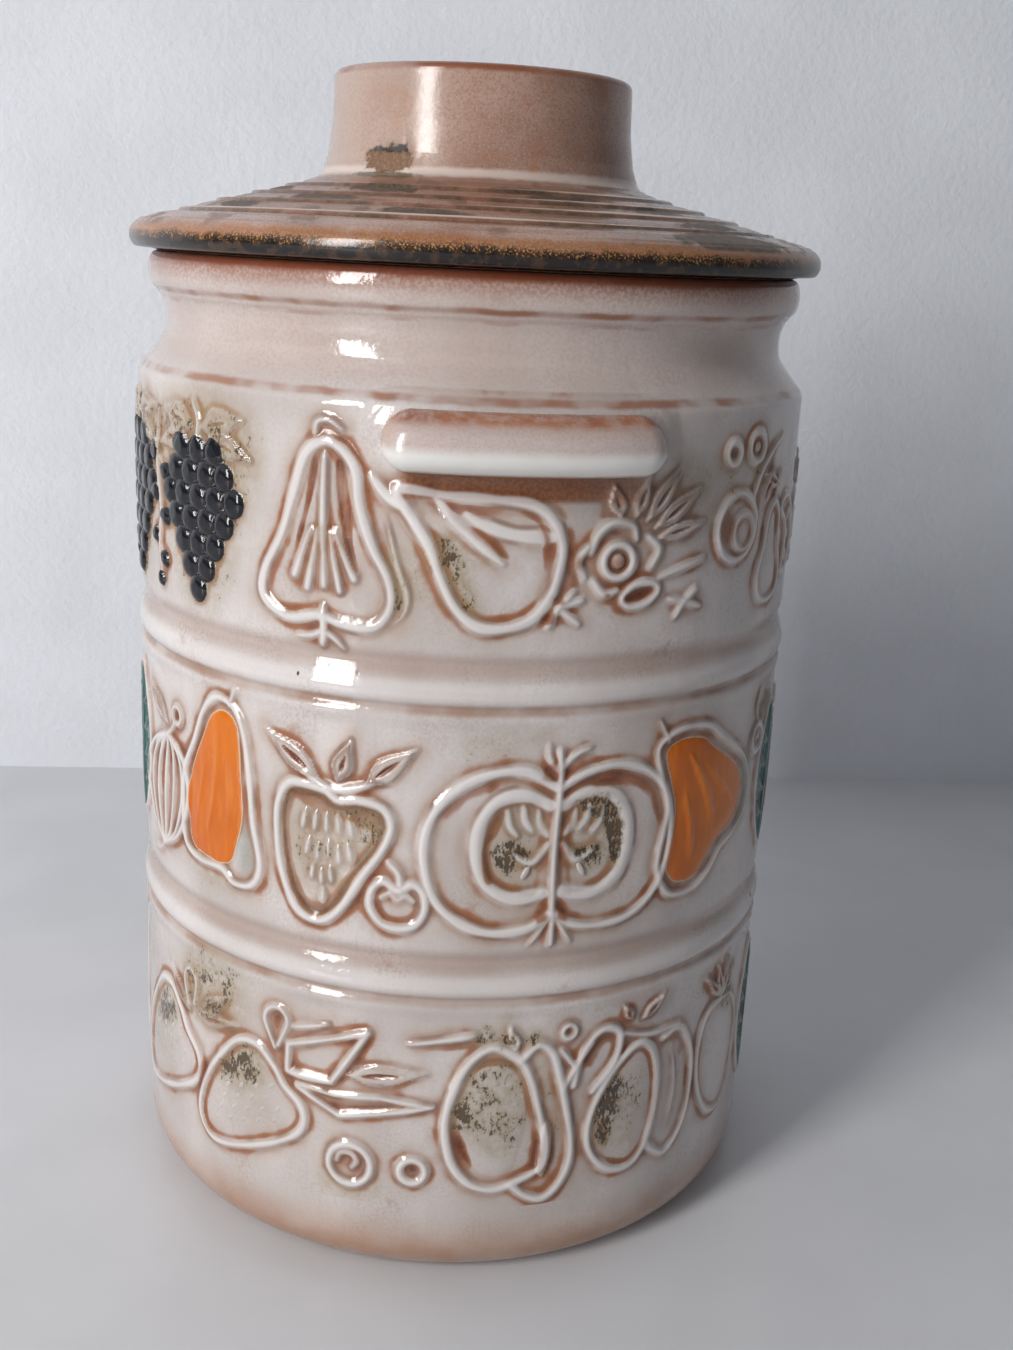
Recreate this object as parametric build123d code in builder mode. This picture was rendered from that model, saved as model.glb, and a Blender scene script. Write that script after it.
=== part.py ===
"""Rumtopf: a tall glazed stoneware jar with two moulded lugs, and a lid with a broad hollow knob.

Millimetres. +Z is up, the origin is on the table at the jar's axis, and the lugs lie along X.
"""

import os
from math import sqrt

from build123d import *

# Jar: the turned body
body_radius = 100.0
jar_height = 281.0
wall = 7.0
floor_thickness = 9.0
floor_fillet = 14.0

# Jar: the foot that it stands on
foot_fillet = 13.0
foot_ring_width = 13.0
foot_recess_depth = 2.5

# Jar: neck and rim, as steps in from the body's radius and heights down from the rim
neck_step = 9.0
rim_step = 4.4
rim_height = 8.5
rim_slope_height = 6.0
neck_height = 7.0
shoulder_slope_height = 10.5
neck_fillet = 8.0
shoulder_fillet = 2.5
rim_fillet = 3.0
lip_fillet = 2.5

# Jar: two sets of rings round the body, each a broad groove, a bead, a fine groove and a low bead
ring_height_shares = (0.404, 0.736)
bead_drop = 7.6
fine_groove_drop = 11.4
low_bead_drop = 14.1
broad_groove_width = 5.0
broad_groove_depth = 1.0
bead_width = 6.8
fine_groove_width = 2.6
fine_groove_depth = 0.75
low_bead_width = 4.6
low_bead_height = 0.6

# Jar: the two lugs that it is lifted by, and the finger recess under each
lug_width = 71.0
lug_height = 15.5
lug_reach = 10.5
lug_drop_below_rim = 33.0
lug_fillet = 6.0
recess_height = 17.0
recess_depth = 1.8

# Jar: the cast fruit relief, as ribs that rise from a field set in between the beads
relief_depth = 0.9
relief_width = 3.2
grape_radius = 3.5
grape_pitch = 7.4
grape_row_spacing = 6.2

# Jar: the relief's fruits, each drawn round a bottom and a top circle: height, bottom and top radius
pear = (44.0, 17.5, 6.5)
strawberry = (39.0, 5.5, 15.0)
apple_half = (46.0, 17.0, 15.0)
plum = (45.0, 11.0, 12.0)
pod = (40.0, 6.6, 5.6)
leaf = (46.0, 9.5, 3.2)
berry = (13.0, 6.2, 5.8)

# Lid: rim, seat and locating flange
lid_overhang = 5.2
lid_rim_height = 7.0
lid_rim_fillet = 3.4
lid_rim_gap = 1.6
lid_wall = 6.5
flange_clearance = 1.4
flange_depth = 9.0
flange_thickness = 6.0
flange_fillet = 2.0

# Lid: the slope from the rim to the knob, with stepped ridges inside a plain band
lid_rise = 13.4
lid_band_width = 19.8
ridge_count = 4
ridge_to_knob = 5.6
ridge_riser = 0.9

# Lid: the broad hollow knob
knob_radius = 43.0
knob_flare = 1.8
knob_height = 30.0
knob_wall = 6.5
knob_root_fillet = 4.5
knob_edge_fillet = 3.2
knob_dish_depth = 1.6
knob_bore_fillet = 5.0

# Heights and radii that follow from the sizes above
neck_radius = body_radius - neck_step
rim_radius = body_radius - rim_step
mouth_radius = neck_radius - wall
inner_radius = body_radius - wall
field_radius = body_radius - relief_depth
foot_recess_radius = body_radius - foot_fillet - foot_ring_width
floor_height = foot_recess_depth + floor_thickness
rim_bottom = jar_height - rim_height
neck_top = rim_bottom - rim_slope_height
neck_bottom = neck_top - neck_height
shoulder_height = neck_bottom - shoulder_slope_height
lug_centre_height = jar_height - lug_drop_below_rim - lug_height / 2
lug_radius = body_radius + lug_reach
lid_radius = rim_radius + lid_overhang
seat_radius = rim_radius - lip_fillet
flange_radius = mouth_radius - flange_clearance
flange_inner_radius = flange_radius - flange_thickness
flange_bottom = jar_height - flange_depth
lid_rim_bottom = jar_height + lid_rim_gap
lid_rim_top = lid_rim_bottom + lid_rim_height
knob_root_radius = knob_radius + knob_flare
knob_bore_radius = knob_radius - knob_wall
knob_top = lid_rim_top + lid_rise + knob_height


def revolve_outline(corners):
    """Turn a closed outline about the Z axis; each corner is its radius, height and rounding."""
    with BuildSketch(Plane.XZ) as outline:
        with BuildLine():
            points = [(radius, height) for radius, height, rounding in corners]
            roundings = [rounding for radius, height, rounding in corners]
            FilletPolyline(*points, radius=roundings, close=True)
        make_face()
    revolve(outline.sketch, axis=Axis.Z)


def section_radius(width, depth):
    """Radius of the circle that bulges by a depth over a width."""
    return (width**2 / 4 + depth**2) / (2 * depth)


def cut_groove(height, width, depth):
    """Cut a round-bottomed groove about the body, as wide and deep as named at the field."""
    radius = section_radius(width, depth)
    with BuildSketch(Plane.XZ) as groove:
        with Locations((field_radius + radius - depth, height)):
            Circle(radius)
    revolve(groove.sketch, axis=Axis.Z, mode=Mode.SUBTRACT)


def raise_bead(height, width, rise):
    """Raise a rounded bead about the body, as wide and high as named at the field."""
    radius = section_radius(width, rise)
    with BuildSketch(Plane.XZ) as bead:
        with Locations((field_radius + rise - radius, height)):
            Circle(radius)
        with Locations((inner_radius + wall / 2, height)):
            Rectangle(body_radius, 2 * radius, align=(Align.MIN, Align.CENTER), mode=Mode.INTERSECT)
    revolve(bead.sketch, axis=Axis.Z)


def wall_plane(angle, height, lean=0):
    """A plane inside the wall that faces out at an angle, centred at a height and leaned over."""
    outward = Vector(1, 0, 0).rotate(Axis.Z, angle)
    across = outward.rotate(Axis.Z, 90).rotate(Axis((0, 0, 0), outward), lean)
    inside = outward * (inner_radius - wall)
    return Plane((inside.X, inside.Y, height), x_dir=across, z_dir=outward)


def fruit_points(fruit, edge, share):
    """A fruit's outline, an edge out from its own line: where its sides meet its circles, and its ends."""
    height, bottom_radius, top_radius = fruit
    climb = (bottom_radius - top_radius) / (height - bottom_radius - top_radius)
    reach = sqrt(1 - climb**2)
    low = bottom_radius - height / 2
    high = height / 2 - top_radius
    bottom_edge = bottom_radius + edge
    top_edge = top_radius + edge
    points = [
        (-bottom_edge * reach, low + bottom_edge * climb),
        (bottom_edge * reach, low + bottom_edge * climb),
        (top_edge * reach, high + top_edge * climb),
        (-top_edge * reach, high + top_edge * climb),
        (0, low - bottom_edge),
        (0, high + top_edge),
    ]
    return [(across * share, up * share) for across, up in points]


def lid_surface(radius):
    """Height of the lid's mean slope at a radius, from the rim's top up to the knob's root."""
    return lid_rim_top + lid_rise * (lid_radius - radius) / (lid_radius - knob_root_radius)


# One lug: a bar round the body's wall with rounded ends, pillowed all round its face
with BuildPart() as lug:
    with BuildSketch(Plane.YZ.offset(body_radius - lug_reach)):
        with Locations((0, lug_centre_height)):
            SlotOverall(lug_width, lug_height)
    extrude(amount=lug_reach * 3)
    with BuildSketch(Plane.XY):
        Circle(lug_radius)
        Circle(body_radius - wall / 2, mode=Mode.SUBTRACT)
    extrude(amount=jar_height, mode=Mode.INTERSECT)
    fillet(lug.faces().sort_by(Axis.X)[-1].edges(), lug_fillet)

# One finger recess: the hollow in the wall beneath a lug
with BuildPart() as recess:
    recess_radius = section_radius(recess_height, recess_depth)
    with BuildSketch(Plane.XZ):
        with Locations((field_radius + recess_radius - recess_depth, lug_centre_height - lug_height / 2)):
            Circle(recess_radius)
    revolve(axis=Axis.Z)
    with BuildSketch(Plane.YZ):
        with Locations((0, lug_centre_height - lug_height / 2)):
            SlotOverall(lug_width - lug_height / 2, recess_height)
    extrude(amount=lug_radius, mode=Mode.INTERSECT)

# Each band's fruits: degrees round the jar, share of the band's height, share of its own size, lean
lower_relief_shares = [
    (strawberry, -68, -0.03, 1.2, -45),
    (strawberry, -44, -0.06, 1.15, -45),
    (leaf, -20, 0.06, 0.9, 90),
    (berry, -23.5, -0.17, 1.37, 0),
    (berry, -13, -0.19, 0.77, 0),
    (plum, -0.5, 0.02, 1, 0),
    (pod, 10, 0.01, 1.05, 0),
    (plum, 23.4, -0.02, 0.9, 0),
    (pod, 35.3, -0.02, 1.05, 0),
    (apple_half, 48.7, -0.01, 0.8, 0),
    (leaf, 65, 0.05, 1, 0),
    (strawberry, 85, -0.06, 1.15, 45),
    (plum, 108, 0.02, 1, 0),
    (pod, 118.5, 0.01, 1.05, 0),
    (berry, 131, -0.17, 1.37, 0),
    (pod, 145.7, -0.02, 1.05, 0),
    (plum, 157.6, -0.02, 0.9, 0),
    (apple_half, 178.7, -0.01, 0.8, 0),
    (leaf, 196, 0.05, 1, 0),
    (strawberry, 213, -0.06, 1.15, -45),
    (leaf, 237, 0.06, 0.9, 90),
    (berry, 233.5, -0.17, 1.37, 0),
    (berry, 244, -0.19, 0.77, 0),
    (plum, 257, 0.02, 1, 0),
    (pod, 267.5, 0.01, 1.05, 0),
]
middle_relief_shares = [
    (leaf, -79.5, 0.05, 1, 0),
    (apple_half, -66, -0.07, 0.85, 0),
    (pod, -66, -0.07, 0.8, 0),
    (pear, -49.4, 0.03, 1.05, 0),
    (strawberry, -27, -0.11, 1, -8),
    (leaf, -34.2, 0.28, 0.45, 58),
    (leaf, -17.8, 0.28, 0.42, -52),
    (berry, -16.5, -0.27, 1.1, 0),
    (apple_half, -2.6, -0.05, 1, 0),
    (apple_half, 18, -0.05, 1, 0),
    (pear, 38.5, 0.02, 1.1, 22),
    (berry, 54, 0.2, 0.73, 0),
    (leaf, 61.5, 0.01, 1, 0),
    (apple_half, 77, -0.06, 0.85, 0),
    (pod, 77, -0.06, 0.8, 0),
    (strawberry, 97, -0.11, 1, 8),
    (berry, 108, -0.27, 1.1, 0),
    (pear, 120.4, 0.03, 1.05, 0),
    (apple_half, 143.7, -0.05, 1, 0),
    (apple_half, 164.3, -0.05, 1, 0),
    (leaf, 184, 0.04, 1, 0),
    (strawberry, 202, -0.11, 1, -8),
    (berry, 213, -0.27, 1.1, 0),
    (pear, 233.5, 0.02, 1.1, 22),
    (apple_half, 256, -0.07, 0.85, 0),
    (pod, 256, -0.07, 0.8, 0),
    (berry, 269, 0.15, 0.73, 0),
    (berry, 270.5, -0.2, 0.73, 0),
]
upper_relief_shares = [
    (pear, -29, -0.01, 1, 0),
    (pod, -29, -0.12, 0.75, 0),
    (pear, -3.7, -0.08, 0.85, 56),
    (berry, 15, -0.08, 0.75, 0),
    (berry, 19.7, -0.21, 0.6, 0),
    (berry, 12, -0.2, 0.5, 0),
    (leaf, 25.2, 0.12, 0.42, -56),
    (berry, 39, 0.01, 1.53, 0),
    (berry, 43, 0.33, 0.67, 0),
    (pear, 51, -0.12, 0.6, 0),
    (pod, 61, -0.09, 0.55, 0),
    (berry, 72.5, -0.08, 0.75, 0),
    (berry, 67.8, -0.21, 0.6, 0),
    (pear, 97, -0.01, 1, 0),
    (pod, 97, -0.12, 0.75, 0),
    (berry, 119, -0.18, 0.73, 0),
    (berry, 129, 0, 0.73, 0),
    (pear, 151, -0.01, 1, 0),
    (pod, 151, -0.12, 0.75, 0),
    (pear, 176.3, -0.08, 0.85, 56),
    (berry, 195, -0.08, 0.75, 0),
    (berry, 199.7, -0.21, 0.6, 0),
    (berry, 192, -0.2, 0.5, 0),
    (leaf, 205.2, 0.12, 0.42, -56),
    (berry, 219, 0.01, 1.53, 0),
    (berry, 223, 0.33, 0.67, 0),
    (pear, 231, -0.12, 0.6, 0),
]
low_ring, high_ring = [share * shoulder_height for share in ring_height_shares]
relief_bands = [
    (foot_fillet, low_ring - fine_groove_drop, lower_relief_shares),
    (low_ring, high_ring - fine_groove_drop, middle_relief_shares),
    (high_ring, shoulder_height, upper_relief_shares),
]

# Grapes hang in the upper band between the lugs: degrees round the jar, and how many grapes each row has
bunch_counts = (3, 4, 5, 4, 3, 2, 1)
sprig_counts = (1, 1, 1, 1, 1, 1, 1)
grapes = [
    (-54, bunch_counts),
    (-66.2, sprig_counts),
    (-78.5, bunch_counts),
    (-90.7, sprig_counts),
    (-103, bunch_counts),
    (-115.2, sprig_counts),
]

# The relief: every fruit's rib and every grape, cut to the wall's own curve
with BuildPart() as relief:
    for bottom, top, fruit_shares in relief_bands:
        for fruit, angle, height_share, size_share, lean in fruit_shares:
            with BuildSketch(wall_plane(angle, (bottom + top) / 2 + height_share * (top - bottom), lean)):
                for edge, mode in ((relief_width / 2, Mode.ADD), (-relief_width / 2, Mode.SUBTRACT)):
                    points = fruit_points(fruit, edge, size_share)
                    low_left, low_right, high_right, high_left, lowest, highest = points
                    with BuildLine():
                        ThreePointArc(low_left, lowest, low_right)
                        Line(low_right, high_right)
                        ThreePointArc(high_right, highest, high_left)
                        Line(high_left, low_left)
                    make_face(mode=mode)
    for angle, counts in grapes:
        with BuildSketch(wall_plane(angle, (high_ring + shoulder_height - grape_row_spacing) / 2)):
            for row, count in enumerate(counts):
                with Locations((0, ((len(counts) - 1) / 2 - row) * grape_row_spacing)):
                    with GridLocations(grape_pitch, grape_pitch, count, 1):
                        Circle(grape_radius)
    extrude(amount=2 * wall + relief_depth)
    with BuildSketch():
        Circle(body_radius)
        Circle(body_radius - wall / 2, mode=Mode.SUBTRACT)
    extrude(amount=jar_height, mode=Mode.INTERSECT)

# The jar: one fired piece, hollow, with its rings, relief, lugs and finger recesses
with BuildPart() as jar:
    revolve_outline(
        [
            (0, foot_recess_depth, 0),
            (foot_recess_radius, foot_recess_depth, 0),
            (foot_recess_radius + foot_recess_depth, 0, 0),
            (field_radius, 0, foot_fillet),
            (field_radius, shoulder_height, shoulder_fillet),
            (neck_radius, neck_bottom, neck_fillet),
            (neck_radius, neck_top, neck_fillet),
            (rim_radius, rim_bottom, rim_fillet),
            (rim_radius, jar_height, lip_fillet),
            (mouth_radius, jar_height, lip_fillet),
            (mouth_radius, neck_bottom, neck_fillet),
            (inner_radius, shoulder_height, neck_fillet),
            (inner_radius, floor_height, floor_fillet),
            (0, floor_height, 0),
        ]
    )
    for ring_height in (low_ring, high_ring):
        raise_bead(ring_height - bead_drop, bead_width, relief_depth)
        raise_bead(ring_height - low_bead_drop, low_bead_width, low_bead_height)
        cut_groove(ring_height, broad_groove_width, broad_groove_depth)
        cut_groove(ring_height - fine_groove_drop, fine_groove_width, fine_groove_depth)
    add(relief.part)
    add(recess.part, mode=Mode.SUBTRACT)
    add(mirror(recess.part, about=Plane.YZ, mode=Mode.PRIVATE), mode=Mode.SUBTRACT)
    add(lug.part)
    add(mirror(lug.part, about=Plane.YZ, mode=Mode.PRIVATE))

# The lid's stepped ridges, as corners from the plain band in to the knob
outer_ridge_radius = lid_radius - lid_band_width
ridge_spacing = (outer_ridge_radius - knob_root_radius - ridge_to_knob) / (ridge_count - 1)
ridge_corners = []
for ridge in range(ridge_count):
    ridge_radius = outer_ridge_radius - ridge * ridge_spacing
    ridge_corners.append((ridge_radius, lid_surface(ridge_radius) - ridge_riser / 2, 0))
    ridge_corners.append((ridge_radius, lid_surface(ridge_radius) + ridge_riser / 2, 0))

# The lid: one fired piece, hollow to the top of its knob, with a flange that sits in the mouth
with BuildPart() as lid:
    revolve_outline(
        [
            (lid_radius, lid_rim_bottom, lid_rim_fillet / 2),
            (lid_radius, lid_rim_top, lid_rim_fillet),
            *ridge_corners,
            (knob_root_radius, lid_surface(knob_root_radius), knob_root_fillet),
            (knob_radius, knob_top, knob_edge_fillet),
            (0, knob_top - knob_dish_depth, 0),
            (0, knob_top - knob_dish_depth - knob_wall, 0),
            (knob_bore_radius, knob_top - knob_dish_depth - knob_wall, knob_bore_fillet),
            (knob_bore_radius, lid_surface(knob_root_radius) - lid_wall, knob_root_fillet),
            (flange_inner_radius, lid_surface(flange_inner_radius) - lid_wall, flange_fillet),
            (flange_inner_radius, flange_bottom, flange_fillet),
            (flange_radius, flange_bottom, flange_fillet),
            (flange_radius, jar_height, 0),
            (seat_radius, jar_height, 0),
            (seat_radius + lid_rim_gap, lid_rim_bottom, 0),
        ]
    )

jar.part.label = "jar"
lid.part.label = "lid"

os.makedirs("parts", exist_ok=True)
export_step(jar.part, "parts/jar.step")
export_step(lid.part, "parts/lid.step")
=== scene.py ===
"""Finish of the rumtopf pot: its glazed fruit relief, lugs, rings, neck and turned lid.

Shapes are worked out in millimetres and put down in metres. Places round the wall are given in
degrees from +X, where one lug sits.
"""

import math
import bmesh
import bpy
import numpy as np
from mathutils import Matrix, Vector


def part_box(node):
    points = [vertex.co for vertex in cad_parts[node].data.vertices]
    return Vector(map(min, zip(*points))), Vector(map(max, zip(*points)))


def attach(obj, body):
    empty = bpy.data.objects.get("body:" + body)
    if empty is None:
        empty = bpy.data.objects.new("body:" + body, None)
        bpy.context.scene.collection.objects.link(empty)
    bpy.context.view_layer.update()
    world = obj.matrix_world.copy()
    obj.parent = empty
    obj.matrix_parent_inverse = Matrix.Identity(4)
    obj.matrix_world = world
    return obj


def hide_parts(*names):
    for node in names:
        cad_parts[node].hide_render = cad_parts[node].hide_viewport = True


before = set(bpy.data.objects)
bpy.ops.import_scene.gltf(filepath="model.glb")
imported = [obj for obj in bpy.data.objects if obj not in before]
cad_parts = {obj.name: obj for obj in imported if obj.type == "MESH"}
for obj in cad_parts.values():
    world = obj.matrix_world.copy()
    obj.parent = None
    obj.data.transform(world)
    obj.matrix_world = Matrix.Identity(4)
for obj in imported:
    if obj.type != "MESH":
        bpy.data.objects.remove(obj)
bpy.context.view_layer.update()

MM = 0.001
jar_low, jar_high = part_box("jar")
lid_low, lid_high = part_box("lid")

# Sizes read from the model's parts, in millimetres
BODY_RADIUS = jar_high.y / MM
JAR_TOP = jar_high.z / MM
LUG_RADIUS = jar_high.x / MM
LID_TOP = lid_high.z / MM
FLANGE_BOTTOM = lid_low.z / MM

# The wall: millimetres per degree round it, its plain field, its highest relief, how deep the relief's
# panels go in, and the foot and shoulder between which they lie
ARC = math.pi / 180 * BODY_RADIUS
FIELD_RADIUS = BODY_RADIUS - 0.9
RELIEF_RADIUS = BODY_RADIUS + 0.45
PANEL_BACK = BODY_RADIUS - 4.6
FOOT_TOP = 24.0
SHOULDER_START = 247.6
SHOULDER_SLOPE = 0.86
SHOULDER_BEND = 1.483
SHOULDER_SEAM = 253.0

# The double rings: the height of each one's broad groove, and for all its grooves and beads how far
# below that one each lies, how much it rises and how far it spreads
RING_HEIGHTS = (100.6, 183.3)
BEAD_DROP = 7.6
FINE_GROOVE_DROP = 11.4
RING_PROFILE = ((0.0, -1.0, 2.6), (BEAD_DROP, 0.95, 2.9), (FINE_GROOVE_DROP, -0.75, 1.15), (13.9, 0.55, 2.2))

# The grid that the relief is worked out on, and how far from a line its gap is still measured
COLUMNS = 1208
ROW_STEP = 0.535
LINE_REACH = 8.0

# The lugs, their seats on the wall and the finger recess under each
LUG_ANGLES = (0, 180)
LUG_LENGTH = 71.0
LUG_HEIGHT = 15.5
LUG_STRAIGHT = (LUG_LENGTH - LUG_HEIGHT) / 2
LUG_CENTRE = 240.25
SEAT_REACH = 45.0
SEAT_BOTTOM = 215.0
SEAT_TOP = 256.0
COLLAR_REACH = 8.5
COLLAR_RISE = 0.8
RECESS_CENTRE = 230.5
RECESS_HEIGHT = 19.0
RECESS_DEPTH = 1.9
RECESS_COLOUR_BOTTOM = 225.2

# Marks pressed into the wall: their lines' widths and rises, how wide a line's crest and skirt are
# beside its width, and how much its width wavers
LINE_WIDTH = 3.4
LINE_RISE = 1.05
FINE_WIDTH = 2.4
CREST_SHARE = 0.39
SKIRT = 1.7
WAVER = 0.1

# How far, in cells, the kiln softens the marks, the depth between them and each tint
SLUMP = 0.85
HOLLOW_SPREAD = 2.8
TINT_SPREADS = {"stain": 2.6, "smoke": 3.0, "rust": 1.0}
TINTS = ("orange", "green", "black", "bare", *TINT_SPREADS)


def shade(red, green, blue):
    """A colour as the eye reads it on a screen, turned to linear light."""
    return tuple(v / 12.92 if v <= 0.04045 else ((v + 0.055) / 1.055) ** 2.4 for v in (red, green, blue))


def wall_radius(height):
    """Radius of the plain wall at a height, with its grooves, beads and the start of the shoulder."""
    height = np.asarray(height, float)
    radius = np.full(height.shape, FIELD_RADIUS)
    for ring in RING_HEIGHTS:
        for drop, rise, spread in RING_PROFILE:
            radius += rise * np.exp(-(((height - ring + drop) / spread) ** 2))
    past = np.maximum(height - SHOULDER_START, 0)
    return radius - SHOULDER_SLOPE * (np.hypot(past, SHOULDER_BEND) - SHOULDER_BEND)


def smooth_path(points, closed=False, step=0.8):
    """Points close together on a soft curve through a few chosen ones."""
    points = np.array(points, float)
    if closed:
        guide = np.vstack([points[-1:], points, points[:2]])
    else:
        guide = np.vstack([2 * points[0] - points[1], points, 2 * points[-1] - points[-2]])
    path = []
    for before, start, end, after in zip(guide, guide[1:], guide[2:], guide[3:]):
        count = max(2, math.ceil(np.linalg.norm(end - start) / step))
        t = np.arange(count)[:, None] / count
        path.append(
            start
            + 0.5 * t * (end - before)
            + t**2 * (before - 2.5 * start + 2 * end - 0.5 * after)
            + t**3 * (1.5 * (start - end) + 0.5 * (after - before))
        )
    path.append(guide[-2:-1] if not closed else points[:1])
    return np.vstack(path)


def distance_from(start, end, around, up):
    """How far each cell lies from a straight stretch."""
    span = end - start
    along = ((around - start[0]) * span[0] + (up - start[1]) * span[1]) / max(span @ span, 1e-9)
    along = np.clip(along, 0, 1)
    return np.hypot(around - start[0] - along * span[0], up - start[1] - along * span[1])


def soften(values, spread):
    """Blur a band's values over a few cells: columns wrap round, and rows stop at the band's edges."""
    reach = math.ceil(spread * 2.5)
    weights = np.exp(-((np.arange(-reach, reach + 1) / spread) ** 2) / 2)
    weights /= weights.sum()
    ringed = np.pad(values, ((reach, reach), (0, 0)), mode="wrap")
    values = sum(weight * ringed[n : n + COLUMNS] for n, weight in enumerate(weights))
    edged = np.pad(values, ((0, 0), (reach, reach)), mode="edge")
    return sum(weight * edged[:, n : n + values.shape[1]] for n, weight in enumerate(weights))


class Band:
    """A band of the wall laid flat: columns run round it and rows run up it, in millimetres."""

    def __init__(self, low, high):
        self.low = low
        self.rows = round((high - low) / ROW_STEP) + 1
        self.row_step = (high - low) / (self.rows - 1)
        self.column_step = 360 * ARC / COLUMNS
        self.height = low + self.row_step * np.arange(self.rows)
        shape = (COLUMNS, self.rows)
        self.rise = np.zeros(shape)
        self.swell = np.zeros(shape)
        self.edge = np.full(shape, LINE_REACH)
        self.tints = {name: np.zeros(shape) for name in TINTS}

    def window(self, points, reach):
        """The grid cells round some points: their index, and how far round and up each lies."""
        low = np.min(points, axis=0) - reach
        high = np.max(points, axis=0) + reach
        first = math.floor(low[0] / self.column_step)
        columns = np.arange(first, math.ceil(high[0] / self.column_step) + 1)
        bottom = max(0, math.floor((low[1] - self.low) / self.row_step))
        top = min(self.rows, math.ceil((high[1] - self.low) / self.row_step) + 1)
        rows = np.arange(bottom, max(bottom, top))
        around, up = np.meshgrid(columns * self.column_step, self.low + rows * self.row_step, indexing="ij")
        return np.ix_(columns % COLUMNS, rows), around, up

    def line(self, path, width, rise, taper=0.0, spread=1.0):
        """Lay a raised line along a path; taper narrows both its ends, and spread widens it to its last."""
        cells, around, up = self.window(path, width * spread + LINE_REACH)
        if not around.size:
            return
        gap = np.full(around.shape, LINE_REACH)
        lift = np.zeros(around.shape)
        corner = np.array([around[0, 0], up[0, 0]])
        steps = np.array([self.column_step, self.row_step])
        count = len(path) - 1
        for number, (start, end) in enumerate(zip(path[:-1], path[1:])):
            share = (number + 0.5) / count
            ends = abs(2 * share - 1) ** 3
            waver = 1 + WAVER * math.sin(0.42 * start[0] + 0.8 * math.sin(0.31 * start[1]))
            half = width * CREST_SHARE * waver * (1 - taper * ends) * (1 + (spread - 1) * share)
            reach = half * SKIRT + LINE_REACH
            low = np.floor((np.minimum(start, end) - reach - corner) / steps).astype(int).clip(0)
            high = np.ceil((np.maximum(start, end) + reach - corner) / steps).astype(int).clip(0) + 1
            part = np.s_[low[0] : high[0], low[1] : high[1]]
            away = distance_from(start, end, around[part], up[part])
            gap[part] = np.minimum(gap[part], away - half)
            slope = 0.5 + 0.5 * np.cos(math.pi * np.clip(away / (half * SKIRT), 0, 1))
            lift[part] = np.maximum(lift[part], rise * (1 - 0.5 * taper * ends) * slope)
        self.edge[cells] = np.minimum(self.edge[cells], gap)
        self.rise[cells] = np.cbrt(self.rise[cells] ** 3 + lift**3)

    def depth_inside(self, path, reach=0.0):
        """How far inside a closed path each cell lies, negative outside it."""
        cells, around, up = self.window(path, reach)
        away = np.full(around.shape, 1e9)
        inside = np.zeros(around.shape, bool)
        for start, end in zip(path[:-1], path[1:]):
            away = np.minimum(away, distance_from(start, end, around, up))
            crosses = (start[1] > up) != (end[1] > up)
            if np.any(crosses):
                meets = start[0] + (up - start[1]) * (end[0] - start[0]) / (end[1] - start[1])
                inside ^= crosses & (around < meets)
        return cells, np.where(inside, away, -away)

    def stain(self, tint, cells, amount):
        """Glaze some cells in a tint, where they don't already hold more of it."""
        self.tints[tint][cells] = np.maximum(self.tints[tint][cells], amount)

    def fill(self, path, tint, strength=1.0, soft=0.5):
        """Glaze the inside of a closed path in a tint, with an edge as soft as given."""
        cells, depth = self.depth_inside(path, soft * 2)
        self.stain(tint, cells, strength * np.clip(depth / (2 * soft) + 0.5, 0, 1))

    def strip(self, path, tint, strength, start, end):
        """Glaze a strip inside a closed path, from one depth below its edge to another."""
        cells, depth = self.depth_inside(path)
        inner_edge = np.clip((end - depth) / (end - start) * 1.6, 0, 1)
        self.stain(tint, cells, strength * np.clip((depth - start) / 0.6, 0, 1) * inner_edge)

    def pillow(self, path, rise, shoulder):
        """Swell the inside of a closed path into a low cushion."""
        cells, depth = self.depth_inside(path)
        share = np.clip(depth / shoulder, 0, 1)
        cushion = rise * np.sqrt(1 - (1 - share) ** 2) * (depth > 0)
        self.swell[cells] = np.maximum(self.swell[cells], cushion)

    def dent(self, path, drop, shoulder):
        """Sink the inside of a closed path."""
        cells, depth = self.depth_inside(path)
        share = np.clip(depth / shoulder, 0, 1)
        self.swell[cells] -= drop * share * share * (3 - 2 * share)

    def settle(self):
        """Let the marks slump a little in the kiln, and note how deep each cell lies among its neighbours."""
        self.rise = soften(self.rise, SLUMP)
        marks = self.rise + self.swell
        self.hollow = np.clip(soften(marks, HOLLOW_SPREAD) - marks, 0, 1)
        for tint, spread in TINT_SPREADS.items():
            self.tints[tint] = soften(self.tints[tint], spread)


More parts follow.
